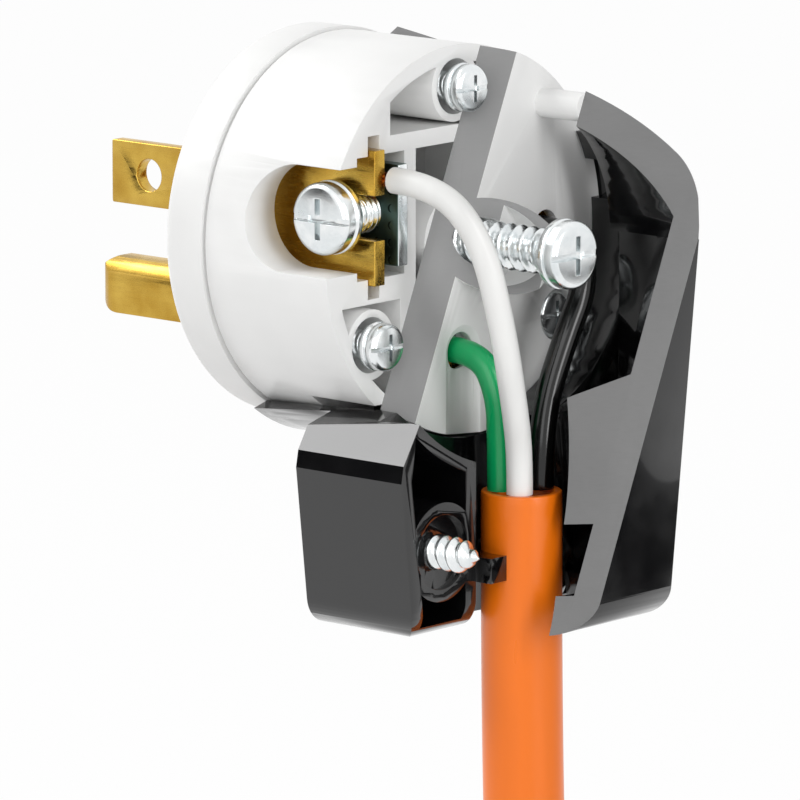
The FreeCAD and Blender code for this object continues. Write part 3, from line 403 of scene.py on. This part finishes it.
# %% [markdown]
# The faces that the cutaway sliced have to be found for their paint. They could be chosen by
# number, but numbers change with every new mesh. Here a face is painted when it lies in one of
# the two planes. The drafted sides of the front cover meet at such blunt edges that smoothing
# would blur them into one another, so these faces keep flat shading.

# %% Softened copies of the frame's solids
# Doubles closer than SAME_PLACE are one point, and faces within FLAT of each other are one face.
SAME_PLACE = 0.001 * MM
FLAT = math.radians(0.4)
# A face is in a plane if it is this near to it, and looks its way if the cosine is above ALIGNED.
ON_PLANE = 0.01 * MM
ALIGNED = 0.99
# A side of the front cover: how little its normal turns to X, how much it turns to Y, its length.
FACET_TURN = 0.01
FACET_SIDE = 0.8
FACET_LENGTH = 9 * MM


def joined_copy(node):
    """The node's mesh with its doubles merged and its coplanar triangles joined."""
    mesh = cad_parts[node].data.copy()
    mesh.materials.clear()
    work = bmesh.new()
    work.from_mesh(mesh)
    bmesh.ops.remove_doubles(work, verts=work.verts, dist=SAME_PLACE)
    bmesh.ops.dissolve_limit(work, angle_limit=FLAT, verts=work.verts, edges=work.edges)
    work.to_mesh(mesh)
    work.free()
    return mesh


def mark_cut(mesh, plane, index):
    """Gives one material index to the faces that lie in a plane of the cutaway."""
    point, outward = plane
    for polygon in mesh.polygons:
        level = (polygon.center - point).dot(outward)
        if abs(level) < ON_PLANE and polygon.normal.dot(outward) > ALIGNED:
            polygon.material_index = index


def mark_ends(mesh, index):
    """Gives one material index to the faces that look along X."""
    for polygon in mesh.polygons:
        if abs(polygon.normal.x) > ALIGNED:
            polygon.material_index = index


def flat_facets(mesh):
    """Leaves the long flat faces of the sides unsmoothed, so that each keeps its own shine."""
    for polygon in mesh.polygons:
        along = [mesh.vertices[corner].co.x for corner in polygon.vertices]
        if abs(polygon.normal.x) < FACET_TURN and abs(polygon.normal.y) > FACET_SIDE:
            polygon.use_smooth = max(along) - min(along) < FACET_LENGTH


def dressed(node, materials, edge, cut_plane=None, bright_ends=False, facets=False):
    """A softened copy of a node, with the faces of the cutaway or its ends in its second material."""
    mesh = joined_copy(node)
    if cut_plane:
        mark_cut(mesh, cut_plane, 1)
    if bright_ends:
        mark_ends(mesh, 1)
    smooth(mesh)
    if facets:
        flat_facets(mesh)
    piece = bpy.data.objects.new(f"{node}_dressed", mesh)
    soften(piece, edge)
    show(piece, [node], materials)


dressed("nose_body", [WHITE_NYLON], 0.16 * MM)
dressed("terminal_cover", [WHITE_NYLON, CUT_GREY], 0.08 * MM, MAIN_CUT)
dressed("rear_cover", [GLOSS_BLACK, CUT_DARK], 0.1 * MM, MAIN_CUT)
dressed("front_cover", [GLOSS_BLACK, CUT_DARK], 0.12 * MM, COLLAR_CUT, facets=True)
for blade in ("neutral_blade", "hot_blade", "ground_pin"):
    dressed(blade, [BRASS], 0.12 * MM)
for terminal in ("neutral", "hot", "ground"):
    dressed(f"{terminal}_clamp_plate", [DIMPLED, ZINC], 0.12 * MM, bright_ends=True)

# %% [markdown]
# New shapes are surfaces worked out with numpy. A surface is a grid of points, one row for
# each step along the piece and one column for each step around it, and the faces follow from
# the grid's order. A whole screw or a strand of wire is then one short formula.


# %% Grid surfaces
def grid_mesh(name, grid):
    """A closed mesh from a grid of points: rows along, columns around, an end point at each end.

    Face of row i and column j joins (i, j), (i, j + 1), (i + 1, j + 1) and (i + 1, j), with the
    last column joined to the first. The first and the last row are closed by fans of triangles
    to their own middles.
    """
    rows, columns = grid.shape[:2]
    points = np.vstack([grid.reshape(-1, 3), grid[0].mean(axis=0), grid[-1].mean(axis=0)])
    row, column = np.meshgrid(np.arange(rows - 1), np.arange(columns), indexing="ij")
    after = (column + 1) % columns
    quads = np.stack([row * columns + column, row * columns + after,
                      (row + 1) * columns + after, (row + 1) * columns + column], axis=-1).reshape(-1, 4)
    around = np.arange(columns)
    following = (around + 1) % columns
    start, end = rows * columns, rows * columns + 1
    last = (rows - 1) * columns
    first_fan = np.stack([following, around, np.full(columns, start)], axis=-1)
    last_fan = np.stack([last + around, last + following, np.full(columns, end)], axis=-1)
    mesh = bpy.data.meshes.new(name)
    mesh.from_pydata(points.tolist(), [], quads.tolist() + first_fan.tolist() + last_fan.tolist())
    work = bmesh.new()
    work.from_mesh(mesh)
    bmesh.ops.recalc_face_normals(work, faces=work.faces)
    work.to_mesh(mesh)
    work.free()
    smooth(mesh)
    return mesh


print("a grid of 5 rows of 6 points closes with", 4 * 6, "quads and", 2 * 6, "triangles")

# %% [markdown]
# On the far side the front cover's lip runs down into the neck's shoulder in a thin web, which
# closes the cavity behind the black wire. Its section is the same all along, so a profile of a few
# corners carried along X makes it, and a bevel softens it.

# %% Web of the far lip
WEB_LENGTH = 5.2 * MM
# The corners of its section in Y and Z, in millimetres.
WEB_OUTSIDE = [(16.85, -19.4), (17.8, -13.8), (18.6, -9.0)]
WEB_INSIDE = [(17.1, -10.8), (16.2, -14.0), (15.3, -17.2)]
WEB_ROWS = 5


def web_surface(profile, start, length, rows):
    """Points of a profile in Y and Z, repeated at even steps from start to start plus length."""
    section = np.array(profile) * MM
    x = np.broadcast_to(np.linspace(start, start + length, rows)[:, None], (rows, len(section)))
    across = np.broadcast_to(section[:, 0], x.shape)
    up = np.broadcast_to(section[:, 1], x.shape)
    return np.stack([x, across, up], axis=-1)


def far_web():
    """The web ends at the plane where the two covers meet."""
    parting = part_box("front_cover")[1].x
    grid = web_surface(WEB_OUTSIDE + WEB_INSIDE, parting - WEB_LENGTH, WEB_LENGTH, WEB_ROWS)
    piece = bpy.data.objects.new("far_lip_web", grid_mesh("far_lip_web", grid))
    soften(piece, 0.1 * MM)
    show(piece, [], [GLOSS_BLACK])


far_web()
print("web:", round(WEB_LENGTH / MM, 1), "mm long")

# %% [markdown]
# Heads and shanks of screws are turned shapes: a profile swung about an axis. The Screw
# modifier could do that, but a thread's radius also changes with the angle, and as arrays both
# are the same one line.


# %% Turned surfaces
def ring(columns):
    """Angles once round, in radians."""
    return np.arange(columns) * 2 * np.pi / columns


def turned_surface(along, radius, columns):
    """Points of a profile turned about X: y is the radius times the angle's cosine, z its sine."""
    angle = ring(columns)
    radius = np.broadcast_to(np.asarray(radius)[:, None] if np.ndim(radius) == 1 else radius,
                             (len(along), columns))
    x = np.repeat(np.asarray(along)[:, None], columns, axis=1)
    return np.stack([x, radius * np.cos(angle), radius * np.sin(angle)], axis=-1)


def smoothstep(low, high, values):
    """0 below low, 1 above high, and a soft S between them."""
    share = np.clip((values - low) / (high - low), 0, 1)
    return share * share * (3 - 2 * share)


print("a ring of 8 steps starts", ring(8)[:3].round(2))

# %% [markdown]
# A screw is a head and a thread. The head is a profile turned about the screw's axis, and its
# slot and cross are cut out of it with a Boolean, as the punch does it. The thread is one
# surface: its radius depends on how far along and how far round a point is, so that the ridge
# climbs by one pitch in each turn. Stacked rings would be simpler but are no thread.


# %% Screw surfaces
# Along a head, as shares of its height: how far its flat top is sunk, the round of the shoulder,
# the step of a corner, the start of the groove.
TOP_DISH, SHOULDER, CORNER, GROOVE = 0.04, 0.26, 0.05, 0.6
# Out from its axis, as shares of its radius: the draft, the groove's floor, the ring's edge, the
# closed middle of the top and of the underside. The flat of the top is a share of its edge.
HEAD_DRAFT, GROOVE_FLOOR, RING_EDGE, TOP_MIDDLE, UNDER_MIDDLE, TOP_FLAT = 0.02, 0.93, 0.97, 0.02, 0.3, 0.75
SHOULDER_STEPS = 9
HEAD_COLUMNS = 72


def head_profile(radius, height):
    """A pan head with a ring under it: flat top, round shoulder, groove, ring.

    The shoulder is a quarter circle, so its points follow a cosine along and a sine out.
    """
    turn = np.linspace(0, np.pi / 2, SHOULDER_STEPS)
    shoulder = SHOULDER * height
    along = list(TOP_DISH * height + shoulder * (1 - np.cos(turn)))
    out = list(radius - shoulder * (1 - np.sin(turn)) - HEAD_DRAFT * radius)
    corner = CORNER * height
    groove = GROOVE * height
    floor_radius = GROOVE_FLOOR * radius
    along = [0.0, 0.0, *along, groove, groove + corner, groove + 2 * corner, groove + 3 * corner,
             height - corner, height, height]
    out = [TOP_MIDDLE * radius, out[0] * TOP_FLAT, *out, out[-1], floor_radius, floor_radius, radius,
           radius, RING_EDGE * radius, UNDER_MIDDLE * radius]
    return np.array(along), np.array(out)


# A thread's columns round, its rows in one pitch, how full its ridge is, how many pitches it takes
# to rise under the head, how blunt the tip is, and the smallest share of its radius at the tip.
THREAD_COLUMNS, THREAD_ROWS = 56, 14
RIDGE_FULLNESS, THREAD_RISE, TIP_BLUNTNESS, TIP_END = 0.8, 0.8, 0.7, 0.02


def thread_radius(along, angle, root, crest, pitch, width):
    """Root radius plus a ridge. The ridge's place repeats each pitch and moves on with the angle."""
    phase = np.mod(along[:, None] / pitch - angle[None, :] / (2 * np.pi), 1.0)
    ridge = np.clip(1 - np.abs(2 * phase - 1) / width, 0, 1)
    return root + (crest - root) * smoothstep(0, 1, ridge) ** RIDGE_FULLNESS


def shank_surface(start, end, root, crest, pitch, width, tip):
    """The threaded shank: full thread along its length, which runs out into the tip's cone."""
    along = np.linspace(start, end, int((end - start) / pitch * THREAD_ROWS))
    radius = thread_radius(along, ring(THREAD_COLUMNS), root, crest, pitch, width)
    taper = np.clip((end - along) / tip, TIP_END, 1)[:, None] ** TIP_BLUNTNESS
    run_in = smoothstep(start, start + THREAD_RISE * pitch, along)[:, None]
    return turned_surface(along, (root + (radius - root) * run_in) * taper, THREAD_COLUMNS)


print("a head's profile has", len(head_profile(1.0, 1.0)[0]), "points")

# %% [markdown]
# The slot and the cross are pressed into the head together. The slot is one bar right across,
# the cross two shorter ones that narrow towards their floor, as the tool has to come out again.
# A Boolean with three small blocks leaves exactly the edges that the punch leaves.

# %% Slots and crosses
# Shares of the head's radius across and of its height down.
BAR, SLOT_REACH, CROSS_REACH = 0.105, 1.2, 0.62
SLOT_DEPTH, CROSS_DEPTH, OVERSHOOT = 0.24, 0.34, 0.2
# How wide a punch is at its floor, as a share of its width at the top.
SLOT_TAPER = np.array([1, 1, 0.85])
CROSS_TAPER = np.array([1, 0.72, 0.72])


def prism(name, low, high, taper):
    """A block from one corner to the other along X, whose far end is narrower by the taper."""
    middle, half = (low + high) / 2, (high - low) / 2
    corners = np.array([(0, -1, -1), (0, 1, -1), (0, 1, 1), (0, -1, 1)], float)
    near = middle + corners * half - np.array([half[0], 0, 0])
    far = middle + corners * half * taper + np.array([half[0], 0, 0])
    return grid_mesh(name, np.stack([near, far]))


def punched(head, cutters):
    """The head less its cutters, as a new mesh."""
    base = bpy.data.objects.new("punch_base", head)
    bpy.context.scene.collection.objects.link(base)
    tools = []
    for number, cutter in enumerate(cutters):
        tool = bpy.data.objects.new(f"punch_{number}", cutter)
        bpy.context.scene.collection.objects.link(tool)
        boolean = base.modifiers.new(f"punch_{number}", "BOOLEAN")
        boolean.operation = "DIFFERENCE"
        boolean.solver = "EXACT"
        boolean.object = tool
        tools.append(tool)
    graph = bpy.context.evaluated_depsgraph_get()
    result = bpy.data.meshes.new_from_object(base.evaluated_get(graph))
    for item in [base] + tools:
        bpy.data.objects.remove(item)
    return result


def slotted_head(name, radius, height):
    """A pan head with one slot right across it and a cross in its middle."""
    profile = head_profile(radius, height)
    bar, arm, over = BAR * radius, CROSS_REACH * radius, OVERSHOOT * height
    cutters = [prism("slot", np.array([-over, -SLOT_REACH * radius, -bar]),
                     np.array([SLOT_DEPTH * height, SLOT_REACH * radius, bar]), SLOT_TAPER)]
    for across, up in ((bar, arm), (arm, bar)):
        cutters.append(prism("arm", np.array([-over, -across, -up]),
                             np.array([CROSS_DEPTH * height, across, up]), CROSS_TAPER))
    return punched(grid_mesh(name, turned_surface(*profile, HEAD_COLUMNS)), cutters)


print("slot and cross are", SLOT_DEPTH, "and", CROSS_DEPTH, "of the head's height deep")

# %% [markdown]
# A finished screw takes the place of a plain one in the frame, so its length and its line come
# from that node's box, and only the proportions of its thread are given.

# %% Screws
ACROSS, BACKWARDS, FORWARDS = Vector((0, 1, 0)), Vector((-1, 0, 0)), Vector((1, 0, 0))
# The shank starts this share down the head, and only edges sharper than this get rounded.
SHANK_START = 0.9
SCREW_SHARP = math.radians(50)
SCREW_EDGE = 0.05 * MM


def placed(mesh, at, along, across):
    """Turns a mesh so that its X lies along one direction and its Y across, and moves it."""
    up = along.cross(across)
    rows = [[along[axis], across[axis], up[axis], at[axis]] for axis in range(3)]
    mesh.transform(Matrix(rows + [[0, 0, 0, 1]]))


def merged(name, meshes):
    """One mesh of several."""
    work = bmesh.new()
    for mesh in meshes:
        work.from_mesh(mesh)
    whole = bpy.data.meshes.new(name)
    work.to_mesh(whole)
    work.free()
    return whole


def screw(node, along, across, head, root, crest, pitch, width, tip):
    """A screw in place of a frame node: head at one end of the node's box, tip at the other.

    The head is its radius and height. The width is the ridge's share of the pitch.
    """
    low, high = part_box(node)
    axis = max(range(3), key=lambda number: abs(along[number]))
    centre = (low + high) / 2
    at = centre.copy()
    at[axis] = low[axis] if along[axis] > 0 else high[axis]
    length = high[axis] - low[axis]
    head_radius, head_height = head
    thread = shank_surface(head_height * SHANK_START, length, root, crest, pitch, width, tip)
    top = slotted_head(f"{node}_head", head_radius, head_height)
    whole = merged(f"{node}_threaded", [top, grid_mesh(f"{node}_shank", thread)])
    placed(whole, at, along, across)
    smooth(whole)
    piece = bpy.data.objects.new(f"{node}_threaded", whole)
    soften(piece, SCREW_EDGE, SCREW_SHARP)
    show(piece, [node], [ZINC])


for place in ("top", "near", "far"):
    screw(f"assembly_screw_{place}", BACKWARDS, ACROSS, (2.4 * MM, 2.2 * MM), 1.15 * MM, 1.45 * MM,
          0.8 * MM, 0.9, 1.2 * MM)
screw("centre_screw", BACKWARDS, ACROSS, (3.45 * MM, 2.5 * MM), 1.62 * MM, 2.3 * MM,
      1.4 * MM, 0.6, 2.0 * MM)
for place in ("near", "far"):
    screw(f"cover_screw_{place}", FORWARDS, ACROSS, (3.0 * MM, 2.2 * MM), 1.2 * MM, 1.75 * MM,
          1.25 * MM, 0.9, 2.2 * MM)
for terminal, inward in (("neutral", (0, 1, 0)), ("hot", (0, -1, 0)), ("ground", (0, 0, 1))):
    screw(f"{terminal}_terminal_screw", Vector(inward), FORWARDS, (3.65 * MM, 2.7 * MM), 1.75 * MM,
          2.1 * MM, 0.7 * MM, 0.9, 0.4 * MM)

# %% [markdown]
# The conductors are insulated wires with a smooth free run from terminal to sheath. A NURBS
# curve with a round bevel is the natural tool: a few listed control points give one
# even curve, with no kinks. The control points are the same that the frame's tubes follow.

# %% Conductors
WIRE_RADIUS = 1.3 * MM
CURVE_STEPS = 24
CURVE_ROUNDNESS = 9
ROUTES = {
    "white_conductor": [(22.3, -10.65, 7.2), (28.1, -10.65, 7.2), (31.8, -8.6, 2.0), (32.5, -6.4, -6.5),
                        (31.9, -3.8, -15.0), (30.80, -1.72, -20.0), (30.80, -1.72, -24.0)],
    "black_conductor": [(22.3, 10.65, 0.0), (27.5, 10.65, 0.0), (30.6, 8.7, -4.4), (30.5, 5.5, -9.6),
                        (30.3, 2.9, -15.2), (30.39, 1.95, -20.2), (30.39, 1.95, -24.0)],
    "green_conductor": [(22.3, -1.8, -10.65), (25.9, -1.8, -10.65), (28.1, -1.8, -14.4),
                        (28.02, -1.38, -19.0), (28.02, -1.38, -24.0)],
}


def route_curve(name, points, radius, steps=CURVE_STEPS):
    """A NURBS curve through its end points, pulled towards the points between, with a round section."""
    data = bpy.data.curves.new(name, "CURVE")
    data.dimensions = "3D"
    spline = data.splines.new("NURBS")
    spline.points.add(len(points) - 1)
    for control, point in zip(spline.points, points):
        control.co = (*(coordinate * MM for coordinate in point), 1.0)
    spline.order_u = 3
    spline.use_endpoint_u = True
    spline.resolution_u = steps
    data.bevel_depth = radius
    data.bevel_resolution = CURVE_ROUNDNESS
    data.use_fill_caps = True
    return bpy.data.objects.new(name, data)


for node, material, slot in (("white_conductor", WIRE_WHITE, "white_insulation"),
                             ("black_conductor", WIRE_BLACK, "black_insulation"),
                             ("green_conductor", GREEN, "green_insulation")):
    show(route_curve(f"{node}_wire", ROUTES[node], WIRE_RADIUS), [node], [material])
print("conductors:", len(ROUTES), "wires of", round(2 * WIRE_RADIUS / MM, 1), "mm")

# %% [markdown]
# Under each pressure plate lies the bare end of a wire: thin strands twisted together. One
# strand is a tube along a helix, and six of them round a seventh fill the bundle's circle.


# %% Bare strands
TWIST_LENGTH = 11 * MM
OUTER_STRANDS = 6
STRAND_ROWS = 28
STRAND_COLUMNS = 10
SIDEWAYS = np.array([0.0, 1.0, 0.0])


def tube_surface(path, radius, columns):
    """A round tube along a path. Each ring lies square to the path's own direction.

    The ring's two axes come from the direction and a fixed sideways vector, by cross products.
    """
    direction = np.gradient(path, axis=0)
    direction /= np.linalg.norm(direction, axis=1)[:, None]
    first = np.cross(direction, SIDEWAYS)
    first /= np.linalg.norm(first, axis=1)[:, None]
    second = np.cross(direction, first)
    angle = ring(columns)[None, :, None]
    around = first[:, None, :] * np.cos(angle) + second[:, None, :] * np.sin(angle)
    return path[:, None, :] + radius * around


def bare_strands(node):
    """Seven strands: one straight in the middle, six on helices around it.

    A helix turns evenly with the distance along X, once in TWIST_LENGTH.
    """
    low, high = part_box(node)
    centre = (low + high) / 2
    strand = (high.z - low.z) / 6
    along = np.linspace(low.x, high.x, STRAND_ROWS)
    meshes = []
    for number in range(1 + OUTER_STRANDS):
        out = 2 * strand if number else 0.0
        angle = 2 * np.pi * (number / OUTER_STRANDS + (along - low.x) / TWIST_LENGTH)
        path = np.stack([along, centre.y + out * np.cos(angle), centre.z + out * np.sin(angle)], axis=1)
        meshes.append(grid_mesh("strand", tube_surface(path, strand, STRAND_COLUMNS)))
    piece = bpy.data.objects.new(f"{node}_twisted", merged(f"{node}_twisted", meshes))
    show(piece, [node], [COPPER])


for terminal in ("neutral", "hot", "ground"):
    bare_strands(f"{terminal}_strands")

# %% [markdown]
# The orange sheath is the only cord that hangs free. Its line is a NURBS curve too, but its
# upper end is in plain view, cut square with the wires coming out of it, so it is a mesh tube
# along that curve: the wall turns in at the top, runs down a little and closes.

# %% Orange sheath
CORD_RADIUS = 4.0 * MM
CORD_ROUTE = [(29.6, 0.0, -24.0), (29.6, 0.0, -56.0), (31.2, 0.9, -88.0), (34.2, 1.6, -117.0)]
SHEATH_STEPS = 40
SHEATH_COLUMNS = 64
SHEATH_WALL = 0.9 * MM
LIP_DEPTH = 1.2 * MM
LIP_ROUND = 0.18 * MM
LIP_STEPS = 5


def curve_points(name, points):
    """The points of the curve itself, as the renderer divides it."""
    line = route_curve(name, points, 0.0, SHEATH_STEPS)
    bpy.context.scene.collection.objects.link(line)
    graph = bpy.context.evaluated_depsgraph_get()
    mesh = bpy.data.meshes.new_from_object(line.evaluated_get(graph))
    found = np.empty(len(mesh.vertices) * 3, np.float32)
    mesh.vertices.foreach_get("co", found)
    bpy.data.objects.remove(line)
    return found.reshape(-1, 3).astype(float)


def end_lip(start, direction):
    """Extra rings for a cut end: a small round at the edge, then down inside the wall.

    Each ring is a drop below the end and a radius. The round is a quarter circle.
    """
    turn = np.linspace(0, np.pi / 2, LIP_STEPS)
    outer_drop = LIP_ROUND * (1 - np.sin(turn))
    outer_radius = CORD_RADIUS - LIP_ROUND * (1 - np.cos(turn))
    hole = CORD_RADIUS - SHEATH_WALL
    chamfer = 0.3 * LIP_ROUND
    inner_drop = [0.0, chamfer, LIP_ROUND, LIP_DEPTH, LIP_DEPTH]
    inner_radius = [hole + LIP_ROUND, hole + chamfer, hole, hole, 0.02 * hole]
    drop = np.concatenate([outer_drop, inner_drop])[::-1]
    radius = np.concatenate([outer_radius, inner_radius])[::-1]
    return start[None, :] + drop[:, None] * direction[None, :], radius


def sheath():
    """The sheath's surface: the lip's rings first, then plain rings to the far end."""
    line = curve_points("sheath_line", CORD_ROUTE)
    if line[0, 2] < line[-1, 2]:
        line = line[::-1]
    direction = (line[1] - line[0]) / np.linalg.norm(line[1] - line[0])
    lip_path, lip_radius = end_lip(line[0], direction)
    angle = ring(SHEATH_COLUMNS)[None, :, None]
    side = np.cross(direction, SIDEWAYS)
    around = side * np.cos(angle) + np.cross(direction, side) * np.sin(angle)
    lip = lip_path[:, None, :] + lip_radius[:, None, None] * around
    body = tube_surface(line, CORD_RADIUS, SHEATH_COLUMNS)
    mesh = grid_mesh("orange_sheath", np.concatenate([lip, body[1:]]))
    piece = bpy.data.objects.new("orange_sheath", mesh)
    show(piece, ["cord_jacket"], [ORANGE])
    return line


cord_line = sheath()
print("cord:", len(cord_line), "points, length",
      round(float(np.linalg.norm(np.diff(cord_line, axis=0), axis=1).sum()) / MM, 1), "mm")

# %% [markdown]
# The photograph has a pure white ground and soft studio light, with one large bright panel
# above on the left. White plastic shows its form only by soft shading, and black gloss only by
# what it mirrors, so few and large lamps suit both. The ground stays white for the camera
# through the Light Path node and not through more light.

# %% Floor and world
FLOOR_REACH = 4.0
FLOOR_COLOUR = (0.82, 0.82, 0.82, 1.0)
PURE_WHITE = (1.0, 1.0, 1.0, 1.0)
# How much of the ground's look is the glow: the rest of the floor shows the plug's shadow.
FLOOR_GLOW, WORLD_GLOW = 0.97, 1.0
WORLD_STRENGTH = 0.42


def sheet(name, width, height):
    """A flat rectangle round its own middle, facing Z."""
    mesh = bpy.data.meshes.new(name)
    across, up = width / 2, height / 2
    corners = [(-across, -up, 0), (across, -up, 0), (across, up, 0), (-across, up, 0)]
    mesh.from_pydata(corners, [], [(0, 1, 2, 3)])
    return mesh


def white_for_camera(nodes, plain, white, share):
    """The plain shader, with a white glow where the camera looks straight at it or by a mirror."""
    camera_ray, glossy_ray, clear_ray = [nodes.node("ShaderNodeLightPath", output=f"Is {kind} Ray")
                                         for kind in ("Camera", "Glossy", "Transmission")]
    seen = camera_ray.maths("MAXIMUM", camera_ray.maths("MAXIMUM", camera_ray, glossy_ray), clear_ray)
    return nodes.node("ShaderNodeMixShader", inputs={0: seen * share, 1: plain, 2: white})


def floor():
    """A wide pale floor below the cord's end, white to the camera."""
    mesh = sheet("floor", 2 * FLOOR_REACH, 2 * FLOOR_REACH)
    mesh.transform(Matrix.Translation((0, 0, FLOOR_LEVEL)))
    material = bpy.data.materials.new("pale_floor")
    nodes = NodeTree(material)
    nodes.tree.nodes.remove(nodes.tree.nodes["Principled BSDF"])
    plain = nodes.node("ShaderNodeBsdfDiffuse", inputs={"Color": FLOOR_COLOUR})
    white = nodes.node("ShaderNodeEmission")
    nodes.feed(nodes.tree.nodes["Material Output"].inputs["Surface"],
               white_for_camera(nodes, plain, white, FLOOR_GLOW))
    mesh.materials.append(material)
    piece = bpy.data.objects.new("floor", mesh)
    bpy.context.scene.collection.objects.link(piece)


def pale_world():
    """Even light from all round, and white behind the plug."""
    world = bpy.data.worlds.new("studio")
    bpy.context.scene.world = world
    nodes = NodeTree(world)
    background = nodes.tree.nodes["Background"]
    nodes.feed(background.inputs["Color"], PURE_WHITE)
    nodes.feed(background.inputs["Strength"], WORLD_STRENGTH)
    plain = Signal(nodes, background.outputs["Background"])
    white = nodes.node("ShaderNodeBackground", inputs={"Color": PURE_WHITE})
    nodes.feed(nodes.tree.nodes["World Output"].inputs["Surface"],
               white_for_camera(nodes, plain, white, WORLD_GLOW))


floor()
pale_world()
print("floor at", round(FLOOR_LEVEL / MM), "mm")

# %% [markdown]
# Three soft lamps light the plug: the large panel, a weak one near the camera and a narrow one on
# the right. A photographer darkens chosen mirrorings with black cards, and so does this scene:
# one behind the plug for the covers' flat rims, one in front for the facet below the shoulder.

# %% Lamps and cards
STUDIO_MIDDLE = Vector((RIM, 0, -10 * MM))
LIGHT_DISTANCE = 0.62
CARD_DISTANCE = 0.42
CARD_BLACK = (0.002, 0.002, 0.002, 1.0)


def aimed(item, direction, distance):
    """Puts an item round the plug in one direction, facing the plug's middle."""
    towards = Vector(direction).normalized()
    item.location = STUDIO_MIDDLE + towards * distance
    item.rotation_euler = (-towards).to_track_quat("-Z", "Y").to_euler()
    bpy.context.scene.collection.objects.link(item)


def lamp(name, direction, width, height, watts):
    """A soft rectangular lamp, aimed at the middle of the plug from one direction."""
    data = bpy.data.lights.new(name, "AREA")
    data.shape = "RECTANGLE"
    data.size = width
    data.size_y = height
    data.energy = watts
    aimed(bpy.data.objects.new(name, data), direction, LIGHT_DISTANCE)


def dark_card(name, direction, width, height):
    """A black card that only mirrors see: it casts no shadow and dims no light."""
    mesh = sheet(name, width, height)
    mesh.materials.append(Finish(name, Base_Color=CARD_BLACK, Roughness=1.0).material)
    piece = bpy.data.objects.new(name, mesh)
    aimed(piece, direction, CARD_DISTANCE)
    piece.visible_camera = False
    piece.visible_diffuse = False
    piece.visible_shadow = False


dark_card("back_card", (0.64, 0.74, -0.224), 0.36, 0.036)
dark_card("brow_card", (-0.65, -0.77, 0.15), 0.16, 0.13)
lamp("upper_left_panel", (-0.66, -0.3, 0.69), 0.44, 0.36, 2.6)
lamp("front_fill", (0.35, -0.85, 0.35), 0.5, 0.5, 1.1)
lamp("right_strip", (0.95, -0.1, 0.3), 0.16, 0.5, 1.3)
